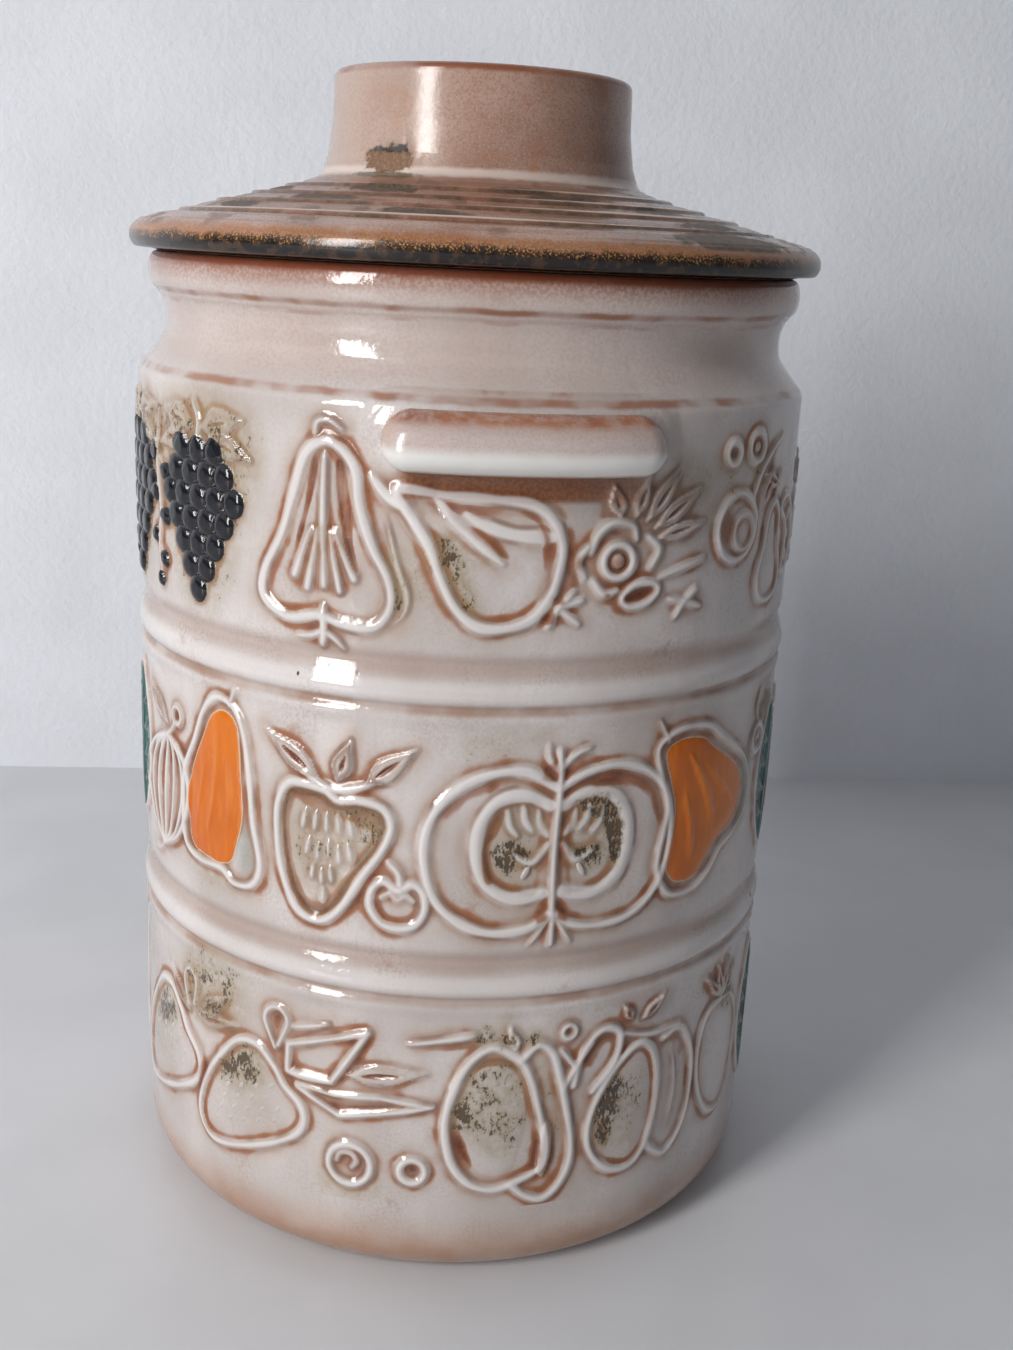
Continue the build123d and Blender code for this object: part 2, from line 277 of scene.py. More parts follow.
class Pen:
    """Draws one motif on a band, in degrees round and millimetres up from the motif's own centre."""

    def __init__(self, band, angle, height, mirrored=False, size=1.0):
        self.band = band
        self.centre = np.array([angle * ARC, height])
        self.stretch = size * np.array([-ARC if mirrored else ARC, 1.0])
        self.size = size

    def place(self, points):
        return self.centre + np.array(points, float) * self.stretch

    def closed(self, points):
        return smooth_path(self.place(points), True)

    def circle(self, x, z, radius):
        turns = np.radians(np.arange(0, 361, 15))
        return self.place([(x, z)])[0] + self.size * radius * np.stack([np.cos(turns), np.sin(turns)], axis=1)

    def line(self, points, width=LINE_WIDTH, rise=LINE_RISE, closed=False, taper=0.0, spread=1.0):
        self.band.line(smooth_path(self.place(points), closed), width * self.size, rise, taper, spread)

    def stroke(self, points, width=LINE_WIDTH, rise=LINE_RISE, taper=0.0):
        """A raised line with plain corners."""
        corners = self.place(points)
        parts = [smooth_path([start, (start + end) / 2, end]) for start, end in zip(corners, corners[1:])]
        self.band.line(np.vstack(parts), width * self.size, rise, taper)

    def ring(self, x, z, radius, width=2.8, rise=1.1):
        self.band.line(self.circle(x, z, radius), width * self.size, rise)

    def dome(self, x, z, radius, rise, tint=None):
        self.band.pillow(self.circle(x, z, radius), rise, radius * self.size)
        if tint:
            self.band.fill(self.circle(x, z, radius), tint, soft=0.35)

    def leaf(self, base, tip, belly, slit=0.36):
        """A raised pointed leaf with a sunk slit down its middle; belly is half its width."""
        start, end = self.place([base, tip])
        across = np.array([start[1] - end[1], end[0] - start[0]])
        across *= belly * self.size / np.linalg.norm(across)

        def blade(low, high, share):
            foot, point = start + (end - start) * low, start + (end - start) * high
            middle = foot * 0.6 + point * 0.4
            sides = [smooth_path([foot, middle + across * share, point]),
                     smooth_path([point, middle - across * share, foot])]
            return np.vstack(sides)

        whole = blade(0.0, 1.0, 1.0)
        self.band.pillow(whole, 0.95, belly * 0.5 * self.size)
        self.band.line(whole, 1.3 * self.size, 0.35)
        hollow = blade(0.12, 0.86, slit)
        self.band.dent(hollow, 0.75, 0.8)
        self.band.fill(hollow, "rust", 1.2, 0.4)

    def fill(self, points, tint, strength=1.0, soft=0.6):
        self.band.fill(self.closed(points), tint, strength, soft)

    def strip(self, points, tint, strength, start, end):
        self.band.strip(self.closed(points), tint, strength, start * self.size, end * self.size)

    def pillow(self, points, rise=0.5, shoulder=7.0):
        self.band.pillow(self.closed(points), rise, shoulder * self.size)

    def dent(self, points, drop=0.4, shoulder=3.0):
        self.band.dent(self.closed(points), drop, shoulder)


# Places of the seeds and pips, noted while the motifs are drawn
SEEDS = []


def seed(pen, x, z, lean=0.0, length=1.0):
    """Note the place of one seed or pip on the wall: round, up, its lean and how long it is."""
    around, up = pen.place([(x, z)])[0]
    SEEDS.append((around / ARC, up, lean, length))


def halved_pear(pen):
    outline = [(0.6, 23.5), (-3, 20), (-5, 10), (-7, -1), (-10, -11), (-10.2, -18), (-6, -22.5), (-0.5, -21),
               (3, -22.5), (8, -22.5), (10.4, -17), (10, -10), (7.5, -2), (5.5, 8), (4.5, 18)]
    pen.pillow(outline, 0.3, 9)
    pen.line(outline, 3.8, closed=True)
    left_slot = [(-1.4, 20), (-2.4, 17), (-3.4, 8), (-4.8, -2), (-3.9, -3), (-2.2, 6), (-1.0, 16)]
    right_slot = [(1.6, 19), (3.1, 18), (4.2, 8), (4.8, -2), (5.6, -9), (4.2, -8), (2.6, 2), (1.5, 12)]
    for slot, rust in ((left_slot, 0.45), (right_slot, 0.8)):
        pen.dent(slot, 0.4, 1.2)
        pen.fill(slot, "rust", rust, 0.6)
    pen.line([(0, 20), (-0.1, 8), (0, -4)], 3.0, 1.1, taper=0.3)
    for knee, foot in (((-2.8, -2), (-4.6, -11)), ((-1.4, -4), (-2.5, -14)), ((0.1, -4), (0.2, -13)),
                       ((1.5, -4), (2.7, -14)), ((2.6, -2), (4.9, -10.5))):
        pen.line([(knee[0] * 0.75, 1), knee, foot], 1.6, 1.0, taper=0.1, spread=2.0)
    pen.fill([(-4, -4), (-1, 2), (2, 2), (4.6, -5), (2.6, -9), (-2, -9)], "rust", 0.5, 1.0)
    pen.fill([(-1.1, 1.5), (-0.4, 2.5), (0.2, 0), (-0.6, -2)], "stain", 1.5, 0.3)
    pen.line([(-1.6, 25), (-1.2, 28), (0.6, 28.6), (2.6, 26.5)], 2.2, 1.1, taper=0.3)
    pen.fill([(-3, 24.6), (-0.6, 25.2), (-0.4, 23.8), (-2.8, 23.4)], "rust", 1.0, 0.4)
    pen.fill([(1.2, 25), (3.8, 24.8), (3.6, 23.4), (1.4, 23.6)], "rust", 1.0, 0.4)
    pen.line([(0, -19), (0.2, -25), (0, -28.5)], 3.6, taper=0.3)
    pen.line([(-4, -27), (-1.6, -26.4), (0, -25), (1.8, -26.4), (3.4, -29)], 2.6, 1.0, taper=0.4)
    pen.line([(9.4, 6), (11.2, -6), (12.8, -14), (12.2, -19), (10.4, -22)], 2.2, 0.5, taper=0.8)
    pen.fill([(9.4, -1), (10.2, -1.6), (11.9, -11), (12.0, -17), (10.4, -20), (11.0, -14), (10.4, -8)],
             "stain", 1.6, 0.4)
    pen.strip(outline, "rust", 0.3, 1.6, 3.4)
    pen.fill([(13, -18), (17, -12), (14, 2), (11, -4)], "stain", 0.3, 2.5)


def hanging_pear(pen):
    outline = [(-15, 16), (-12.4, 8), (-10.2, 2), (-8.4, -6), (-6.2, -13), (-3, -17.6), (1, -18), (5, -15.6),
               (7.6, -10), (8.9, -2), (9, 4), (7.4, 10), (4.4, 13.6), (-1, 14.6), (-8, 15)]
    pen.pillow(outline, 0.3, 8)
    pen.line(outline, 4.2, closed=True)
    pen.line([(-13.4, 11), (-16.4, 14), (-19, 19)], 4.6, 0.8, taper=0.7)
    pen.line([(-10, 15), (-6.6, 9), (-3.2, 4), (0.4, -1.5)], 4.6, 0.75, taper=0.5)
    pen.line([(-5, 10.6), (-2, 8), (2, 6), (7.4, 5.4)], 4.0, 0.6, taper=0.3, spread=1.5)
    pen.strip(outline, "rust", 0.35, 1.8, 3.6)
    crescent = [(3.6, 12.4), (6, 9.6), (7.3, 4), (7.0, -3), (6.2, -3), (6.2, 4), (4.8, 8.6), (2.6, 11.4)]
    pen.fill(crescent, "rust", 1.2, 0.5)
    pen.fill([(-8, 12.6), (-5.4, 9.4), (-2, 5), (1.6, 0.6), (0.8, -0.4), (-3.4, 4.6), (-6.8, 8.6)],
             "rust", 0.85, 0.5)
    pen.fill([(-5, 12.6), (-2.6, 10.8), (-1.4, 9.4), (-3.4, 9.8), (-5.4, 11.6)], "rust", 1.1, 0.5)
    pen.fill([(10.8, 0), (12.2, 0), (12, -8), (10.4, -9.5)], "rust", 1.1, 0.7)
    pen.fill([(8.6, 13), (10.6, 10), (10.8, 5), (9.6, 8)], "rust", 0.8, 0.9)
    pen.fill([(-9.3, 4), (-7, 5), (-5, 0), (-4.4, -6), (-2.6, -13), (-4.4, -14), (-6.4, -9), (-8, -3)],
             "stain", 1.25, 0.9)
    pen.fill([(-4, -1), (-2, 0.4), (-1.6, -1), (-3.4, -2)], "stain", 1.3, 0.4)
    pen.fill([(-14, 4), (-11, -6), (-9, -12), (-13, -14), (-16, -4)], "stain", 0.45, 2.0)
    for tip in ((11.2, -8.6), (12.6, -10.8), (12.2, -17), (7.6, -17.4)):
        pen.line([(8.8, -12.5), tip], 3.0, 1.0, taper=0.3)
    pen.fill([(7.6, -9.4), (9.6, -10.2), (10.2, -11.8), (8.2, -11.4)], "rust", 1.3, 0.4)
    pen.fill([(6.6, -14), (8.4, -13.6), (8.2, -16.6), (6.2, -16.8)], "rust", 1.3, 0.4)


def berry_sprig(pen):
    """A berry among its sepals, with a spray of pointed leaves above and a forked twig beside it."""
    pen.ring(-1.5, -1, 4.3, 3.4, 1.15)
    pen.dome(-1.5, -1, 2.2, 0.9)
    pen.fill([(-3.2, -1), (-1.5, 1.6), (0.2, -1), (-1.5, -3.8)], "rust", 1.0, 0.7)
    for petal in ([(-6, 1.5), (-5, 6), (-2.6, 9), (0.6, 8), (1.4, 4.6)], [(-6.6, 3), (-8, -1), (-6.8, -5)],
                  [(3.4, 5), (5.4, 1.6), (4.2, -3)], [(-5.4, -6), (-3.6, -9.4), (-1.4, -8.6)]):
        pen.line(petal, 3.2, 1.05, taper=0.3)
    sepal = [(-0.6, -10.6), (1.6, -7.4), (4.8, -7.2), (5.8, -9.4), (3.6, -12.6), (0.6, -13)]
    pen.line(sepal, 2.8, 1.05, closed=True)
    pen.fill([(1.0, -10.4), (2.6, -8.8), (4.4, -8.8), (2.8, -11.2)], "rust", 1.4, 0.4)
    pen.fill([(-4, 6), (-2.4, 7.6), (-0.6, 6.4), (-2, 5.2)], "rust", 1.2, 0.5)
    pen.fill([(-4, -9.6), (-3, -8.8), (-2.4, -10), (-3.4, -10.6)], "rust", 1.4, 0.3)
    for base, tip, belly in (((-1.4, 10), (-2.5, 19), 2.4), ((1, 10), (3, 21), 2.3), ((3, 9), (9, 23), 2.6),
                             ((4.5, 7), (13, 17), 2.7), ((5, 4.6), (14.5, 8), 2.2)):
        pen.leaf(base, tip, belly)
    pen.fill([(-2, 9), (2, 18), (9, 17), (8, 6), (2, 6)], "rust", 0.7, 1.5)
    for tip in ((8, -12), (13.5, -10), (14.5, -15), (9.5, -17)):
        pen.line([(11, -13), tip], 2.7, 1.0, taper=0.3)
    pen.line([(6, -6), (10, -4), (15, -2)], 2.6, 0.9, taper=0.5)
    pen.fill([(-9, 10), (0, 24), (16, 24), (18, 2), (8, -4), (-6, 8)], "smoke", 0.3, 4)
    pen.fill([(8, 20), (22, 24), (25, 12), (12, 10)], "stain", 0.4, 3)


def round_fruit(pen):
    pen.ring(0, 0, 9.2, 3.0)
    pen.ring(1.6, -1.5, 5.0, 2.2, 0.8)
    pen.pillow([(0, 8), (-4.5, 5), (-5, -4), (0, -8), (4.5, -5), (5, 4)], 0.5, 5)
    pen.ring(-2.5, 20, 3.0)
    pen.ring(4, 21, 4.0)
    pen.dome(4, 21, 1.6, 0.8)
    pen.line([(4, 7), (6, 14), (10, 20), (13.5, 23)], 2.8, taper=0.3)
    pen.leaf((6.5, 3), (11, 16), 2.6)
    pen.fill([(-3.5, 6), (-5, 0), (-2.5, -5), (-1, 1)], "bare", 0.9, 1.5)
    pen.fill([(-3, 14), (3, 26), (10, 20), (6, 12)], "stain", 0.5, 3)


def small_pear(pen):
    outline = [(0.5, 14), (-2, 10), (-3, 2), (-4.8, -6), (-3.6, -12.5), (0, -14.5), (4, -12.5), (5, -6),
               (3.2, 2), (2.6, 10)]
    pen.pillow(outline, 0.4, 7)
    pen.line(outline, 3.0, closed=True)
    pen.line([(0.5, 14), (1.2, 19), (2.6, 22)], FINE_WIDTH, taper=0.4)
    pen.leaf((1.2, 18), (-5, 22), 2.0)


def bean_pod(pen):
    outline = [(-3.5, 9), (-1, 12), (3, 9.5), (5, 3), (5, -5), (2.5, -10), (-0.5, -9.5), (0.5, -3), (0, 4)]
    pen.line(outline, 2.8, closed=True)
    for z in (6, 0, -6):
        pen.dome(2.3, z, 2.2, 0.8)


def grape_bunch(pen):
    """A hanging bunch in black glaze, with leaves on its shoulders and a curling tendril."""
    pitch = 7.4
    for row, count in enumerate((3, 4, 5, 4, 3, 2, 1)):
        for number in range(count):
            x = (number - (count - 1) / 2) * pitch / ARC
            pen.dome(x, 16 - row * 6.2, 3.9, 1.5, "black")
    pen.line([(0, 18), (0.6, 24), (-0.8, 28.5)], 2.8, taper=0.3)
    for side in (-1, 1):
        pen.leaf((side * 1.0, 22), (side * 10.5, 25.5), 4.2, 0.16)
        pen.leaf((side * 3.0, 20), (side * 12.0, 15.5), 3.2, 0.16)
    pen.fill([(-13, 24), (0, 30), (13, 24), (11, 0), (4, -24), (-4, -24), (-11, 0)], "stain", 0.85, 5)


def currant_sprig(pen):
    """A short upright sprig of currants, between two bunches."""
    pen.line([(0, 26), (-0.8, 12), (0.6, 0), (-0.2, -12), (0.4, -20)], 2.4, 1.1, taper=0.5)
    for number, (x, z) in enumerate(((-2.2, 14), (2.3, 9), (-2.0, 3), (2.3, -3), (-1.9, -9), (1.8, -15))):
        pen.dome(x, z, 3.0 - 0.12 * number, 1.4, "black")
        pen.line([(0, z + 4), (x, z)], 1.6, 0.8)
    pen.dome(0.2, -21, 2.3, 1.3, "black")


def broad_leaf(pen, tint="green"):
    """A pointed leaf with a midrib and side veins, filled with coloured glaze."""
    outline = [(0, 23), (-3, 17), (-5.4, 7), (-5.8, -4), (-4, -14), (0, -23), (4, -14), (5.8, -4), (5.4, 7),
               (3, 17)]
    pen.fill(outline, tint, 1.0, 0.7)
    pen.pillow(outline, 0.5, 6)
    pen.line(outline, 2.6, closed=True)
    pen.line([(0, 24), (0.4, 8), (-0.3, -8), (0, -25)], 2.2, 1.1, taper=0.3)
    for z in (12, 4, -4, -12):
        for side in (-1, 1):
            pen.line([(0, z - 3), (side * 2.2, z), (side * 4.3, z + 4)], 1.6, 0.8, taper=0.5)


def ribbed_nut(pen):
    for across in (-9, -6.2, -3, 0.4, 3.6, 6.6, 8.6):
        pen.line([(2, 15.5), (across * 0.75 + 1, 9), (across, -2), (across * 0.6, -14), (0, -19.5)],
                 2.8, 1.15, taper=0.2)
    pen.ring(5, 22, 2.6, 2.2)
    pen.line([(2, 15), (4, 19)], 2.2, 1.0)
    pen.leaf((1, 18), (-7, 27), 2.6)
    pen.line([(-1, -20), (-3, -23), (-6, -24)], 2.0, 0.9, taper=0.5)


def orange_pear(pen):
    fill = [(-0.6, 22), (2.4, 24), (5, 20), (5.6, 7), (6.0, -4), (4.8, -13), (3, -19.5), (-2, -20.3),
            (-6.4, -18), (-7, -8), (-6.3, 3), (-3, 15)]
    outline = [(0.4, 27.5), (-2.8, 22), (-5.2, 13), (-8.2, 3), (-8.8, -9), (-8.2, -19), (-4, -22.3),
               (1.5, -22), (4.5, -25), (8.5, -23.5), (10, -17), (8.6, -5), (7.8, 8), (6.6, 20), (4.2, 26.5)]
    pen.pillow(fill, 0.8, 7)
    pen.fill(fill, "orange", 1.0, 0.45)
    pen.line(outline, 3.2, closed=True)
    pen.line([(1.2, 18), (0.4, 4), (-1.4, -12)], 2.8, 0.6, taper=0.7)
    pen.line([(3.4, 14), (3.6, 0), (3.2, -10)], 2.4, 0.5, taper=0.7)
    pen.line([(-2, 8), (-3.6, -3), (-4.6, -12)], 2.2, 0.4, taper=0.7)
    pen.fill([(5.6, -21), (8.6, -20.5), (8, -8), (6.6, -6), (5.6, -13)], "smoke", 0.95, 0.8)
    pen.fill([(-4, -23), (2, -24), (4, -28), (-3, -29)], "stain", 0.6, 2)
    pen.line([(3.4, 26), (4.6, 30), (5.2, 32)], 2.0, 0.9, taper=0.3)


def leaning_orange_pear(pen):
    fill = [(-11, 18.5), (-8, 21.5), (-3, 20.5), (0, 17), (4, 13), (8, 8), (10.3, 2), (9.6, -5), (7, -9.5),
            (3, -12), (0, -17), (-3, -21), (-7.5, -20), (-9.6, -14), (-8.8, -5), (-8.3, 2), (-9.6, 10)]
    outline = [(-13, 21), (-8.5, 25), (-2, 24), (2, 19.5), (6, 15), (10.5, 9.5), (12.8, 2), (12, -7),
               (8, -12.5), (4.4, -15), (1.4, -20.5), (-2.6, -24.3), (-8.6, -23.5), (-11.6, -15), (-10.8, -4),
               (-10.4, 3), (-12, 12)]
    pen.pillow(fill, 0.8, 7)
    pen.fill(fill, "orange", 1.0, 0.45)
    pen.line(outline, 2.8, closed=True)
    pen.line([(-6, 17), (-1.6, 5), (0.6, -6)], 3.0, 0.75, taper=0.7)
    pen.line([(-2, 13), (3, 4), (6.6, -2)], 2.6, 0.6, taper=0.7)
    pen.line([(-6.6, 6), (-5, -4), (-4.4, -14)], 2.6, 0.5, taper=0.7)
    pen.line([(-11, 22), (-13, 28)], 2.0, 0.9, taper=0.3)
    pen.fill([(9, 14), (14, 12), (15, -4), (11, -12), (10, 0)], "smoke", 0.8, 2.5)


def strawberry(pen):
    outline = [(-7, 17.5), (-1.5, 17), (1, 14.6), (4, 15.4), (8, 14), (9.4, 9), (8, 2), (5, -6), (2, -15),
               (-0.8, -20), (-3.6, -20.5), (-6.4, -17), (-8.8, -7), (-9.6, 4), (-9.2, 12)]
    pen.dent(outline, 0.25, 5)
    pen.line(outline, 3.8, 1.2, closed=True)
    pen.strip(outline, "rust", 1.7, 1.3, 4.2)
    pen.strip(outline, "stain", 1.3, 1.2, 3.2)
    pen.fill([(-6, 15), (0, 14), (7, 12), (7.4, 6), (5, 8), (-1, 10.6), (-5.4, 12)], "rust", 1.1, 0.8)
    for base, tip, belly in (((-2.2, 20), (-12, 31), 3.2), ((0.6, 19.5), (2.8, 31.5), 2.8),
                             ((5.2, 20), (13, 31), 3.2)):
        pen.leaf(base, tip, belly, 0.3)
    pen.line([(-5, 21), (-1.6, 18.4), (0.8, 17.6), (3.4, 18.4), (6.6, 20.6)], 3.0, 1.15, taper=0.4)
    pen.fill([(-5.4, 12), (4, 10), (4, -2), (0, -13), (-4.6, -13), (-7, 5)], "stain", 0.5, 2)
    pen.fill([(-1, 12.4), (6.6, 11.4), (7.2, 4), (4.8, 1), (4.6, 8), (0, 10.6)], "stain", 0.9, 0.8)
    pen.fill([(-6.6, 0), (-5.4, 0), (-5.2, -4), (-6.4, -4)], "stain", 1.3, 0.3)
    for row, (height, length) in enumerate(((7.6, 5.4), (-0.4, 4.8), (-7.4, 4.2), (-13.2, 3.0))):
        for number in range(-2, 3):
            x = -1.0 + number * 1.95 * (1 - row * 0.1) + (row % 2) * 0.7 - row * 0.4
            if abs(number) * 2.0 + row * 1.2 < 5.6:
                lean = 0.14 * number
                low = height + 0.7 * math.sin(3.1 * number + 2.0 * row)
                pen.line([(x - lean, low + length / 2), (x, low), (x + lean, low - length / 2)], 2.5, 0.8,
                         taper=0.7)


def cherry(pen):
    outline = [(0.3, 4.2), (-2, 6.4), (-3.8, 4), (-4.2, -1), (-2.4, -5.6), (0.4, -6.8), (3, -5.4), (4.4, -1),
               (4, 4), (2.4, 6.2)]
    pen.line(outline, 3.2, closed=True)
    pen.line([(-2.6, 1.6), (-1, 3.2), (0.2, 1.4), (1.4, 3), (2.6, 1.4)], 2.2, 0.8, taper=0.4)
    pen.line([(0.6, 5), (0.2, 9), (-1.4, 12)], 2.6, 1.1, taper=0.4)
    pen.strip(outline, "rust", 0.9, 1.3, 3.4)
    pen.fill([(-4.4, -4), (-1, -9), (3, -9), (4.6, -5), (4.2, -8), (0, -11), (-4.4, -8)], "rust", 0.5, 1.0)


def halved_apple(pen):
    left = [(-0.2, 19), (-5, 23.6), (-10.5, 23), (-15.6, 18.5), (-19.2, 10.5), (-20.3, 0), (-18.6, -12),
            (-14.6, -19), (-9.5, -22), (-3.8, -21), (-0.4, -17)]
    right = [(0.2, 18.5), (4.5, 22.6), (9.8, 24), (14.8, 21.6), (18.8, 15.5), (20.8, 6), (20.6, -5),
             (18.4, -14.5), (14, -20.5), (8.5, -22), (3.6, -20.8), (0.4, -17)]
    pen.line(left, 4.2)
    pen.line(right, 3.4)
    pen.strip(right, "rust", 0.7, 1.4, 3.6)
    pen.fill([(-17.6, 12), (-14, 17.8), (-10, 20.6), (-10, 19), (-13.4, 15.4), (-16.4, 9)], "rust", 0.9, 0.5)
    pen.fill([(6, 20), (12, 21.4), (16.8, 16), (19, 6), (18, 6), (15, 14), (10, 18.6), (6, 18)],
             "rust", 1.2, 0.5)
    pen.line([(0, 29), (0.2, 20), (-0.2, 0), (0, -18), (0.1, -26)], 3.0, 1.2, taper=0.15)
    pen.line([(0.2, 22), (-1.6, 27), (-1.8, 31)], FINE_WIDTH, 0.9, taper=0.5)
    pen.line([(0.2, 24), (2.6, 28), (5, 29.5)], FINE_WIDTH, 0.9, taper=0.5)
    pen.fill([(-2.4, 24), (-0.4, 27), (-0.2, 21), (-3, 21)], "rust", 1.0, 0.5)
    for side in (-1, 1):
        pen.line([(side * 0.4, -18), (side * 2.2, -23), (side * 3.4, -26)], 2.2, 1.0, taper=0.5)
        pen.fill([(side * 0.6, -18), (side * 2.6, -20), (side * 2.2, -16)], "rust", 1.2, 0.5)
        core = [(side * 1.2, 14), (side * 5.4, 17), (side * 9.6, 15), (side * 12, 8), (side * 12.2, -1),
                (side * 10.6, -8), (side * 6.8, -12), (side * 1.6, -11)]
        pen.dent(core, 0.3, 3)
        pen.line(core, 5.4, 0.7)
        for x, z in ((3.0, 12.5), (5.4, 13.8), (7.8, 12.6)):
            pen.line([(side * x, z), (side * (x - 0.4), z - 4), (side * (x - 1.6), z - 7)], 3.2, 0.5,
                     taper=0.4)
        pen.line([(side * 1.2, 3), (side * 3.6, -2), (side * 6.6, 0.6)], 3.4, 0.85, taper=0.4)
        pen.strip(core, "rust", 0.9, 1.6, 3.6)
        seed(pen, side * 4.5, -5, side * 0.5)
        pen.fill([(side * 2, 14), (side * 9, 13), (side * 10, -6), (side * 3, -9)], "stain", 0.4, 2)
    pen.fill([(4.6, 16), (8.4, 16), (11, 11), (11.6, 0), (10.4, -6), (9.4, 2), (7.6, 9), (5, 12)],
             "stain", 2.6, 0.5)
    pen.fill([(-9.6, 11), (-8, 12.4), (-9, 6), (-10.6, 2), (-9.6, -7), (-10.8, -7), (-11.4, 2)],
             "rust", 1.6, 0.4)
    pen.fill([(-9, 2.4), (-6.4, 3), (-4.8, 0.6), (-6.6, -1.4), (-7.4, -5), (-9, -1)], "stain", 3.4, 0.3)
    pen.fill([(3.5, 1), (7.5, 0.4), (7, -4), (4.5, -3)], "stain", 2.4, 0.5)
    pen.fill([(-14, 27), (-4, 31), (-3, 35), (-14, 34)], "stain", 0.55, 2.5)


def single_berry(pen):
    pen.ring(0, 0, 4.4)
    pen.dome(0.4, 0.6, 1.8, 0.8)
    pen.leaf((1.5, 4), (5, 13), 2.2)
    pen.line([(0, 5), (-1.4, 10), (-0.4, 15)], 2.0, 0.9, taper=0.5)
    pen.fill([(-5, 8), (6, 12), (7, -6), (-4, -7)], "smoke", 0.5, 3)


def lying_strawberry(pen, leaned=1.0):
    """A strawberry that lies on its side, with its tip down and to the left."""
    outline = [(2.5, 18), (-1.5, 17), (-5, 11), (-8.5, 3), (-11, -6), (-11.6, -14), (-9, -19.5), (-4, -19),
               (4, -13.5), (9.8, -7.5), (11.8, -2), (11, 3.5), (8, 8), (6, 13)]
    pen.pillow(outline, 0.35, 8)
    pen.line(outline, 3.2, closed=True)
    pen.strip(outline, "rust", 0.6, 1.5, 3.4)
    pen.fill([(1, 17), (-4, 11), (-6.4, 3), (-2, 1), (4, 7)], "stain", 1.25, 1.2)
    pen.fill([(-4, 8), (-8, -4), (-3, -10), (6, -2)], "stain", 0.35, 3)
    pen.fill([(-12, 0), (-9, 8), (-7, 12), (-8.4, 3), (-11.4, -6)], "rust", 0.7, 1.0)
    for row in range(4):
        for number in range(5 - row // 2):
            seed(pen, -7 + number * 3.2 + row * 0.9 * leaned, -12 + number * 1.8 + row * 4.2, -0.6)


def crown_leaves(pen):
    """A loop and pointed leaves, drawn with plain strokes, that spread from a strawberry's top."""
    pen.line([(-1.8, -6), (-3.8, 2), (-2.8, 6), (-0.8, 6.6), (0.6, 3), (-1.2, -5)], 2.4, 1.2)
    pen.fill([(-2.6, 2), (-1.8, 5), (-0.4, 4), (-1.6, -1)], "rust", 1.2, 0.4)
    pen.stroke([(0.6, -12), (0.8, -3.4), (14.6, 5), (8.6, -12), (0.8, -12)], 2.6, 1.2)
    pen.stroke([(1.4, 2), (8, 5.4)], 2.4, 0.8, taper=0.5)
    pen.stroke([(1.6, -12.2), (8.6, -12.2)], 4.0, 1.0, taper=0.3)
    pen.fill([(1.2, -1), (5, 2.6), (10, 5), (9, 3.4), (5, 0.6), (1.4, -2.4)], "rust", 1.0, 0.5)
    pen.fill([(9.6, -12), (12, -5), (15, 4), (13.6, -4), (11, -11)], "rust", 1.0, 0.5)
    pen.leaf((11, -9), (24.4, -6), 3.4, 0.3)
    pen.stroke([(2.4, -15), (9, -16), (17, -14.6), (25.4, -16)], 2.4, 1.1, taper=0.3)
    pen.stroke([(2.4, -16), (10, -22), (17, -19.4), (25.4, -16)], 2.8, 1.15, taper=0.2)
    pen.fill([(5, -17), (10, -18.6), (17, -16.6), (22, -16.4), (16, -18.4), (10, -20)], "rust", 1.3, 0.5)


def leaf_cluster(pen):
    """Small loops and leaves that fill the space above a fruit."""
    pen.line([(-5, -6), (-6.4, 2), (-4.6, 6), (-2.6, 3), (-3.4, -5)], 2.2, 1.0)
    pen.leaf((-2, -7), (6, 4), 2.6)
    pen.leaf((-2.5, -8), (8, -4), 2.4)
    pen.leaf((-5, -8), (-12, 3), 2.2)
    pen.fill([(-7, 8), (0, 16), (9, 12), (8, -4), (-4, -8)], "stain", 0.8, 4)


def curled_berries(pen):
    pen.ring(0.4, -2, 6.3, 3.4, 1.2)
    pen.line([(-1.8, -1.6), (-1.2, 1.2), (0.6, 1.6), (1.6, -0.6), (0.8, -3)], 2.6, 1.0, taper=0.3)
    pen.ring(10.8, -1.8, 3.7, 3.2, 1.2)
    pen.fill([(-4, -6), (0, -10), (5, -7), (4, -12), (-4, -12)], "stain", 0.7, 1.5)
    pen.fill([(-2.6, 1), (-0.6, -4), (2.2, -4), (3, 0), (0.6, 3)], "rust", 0.9, 0.8)
    pen.fill([(9.6, -1), (10.8, 0.8), (12, -1), (10.8, -3)], "rust", 1.2, 0.5)


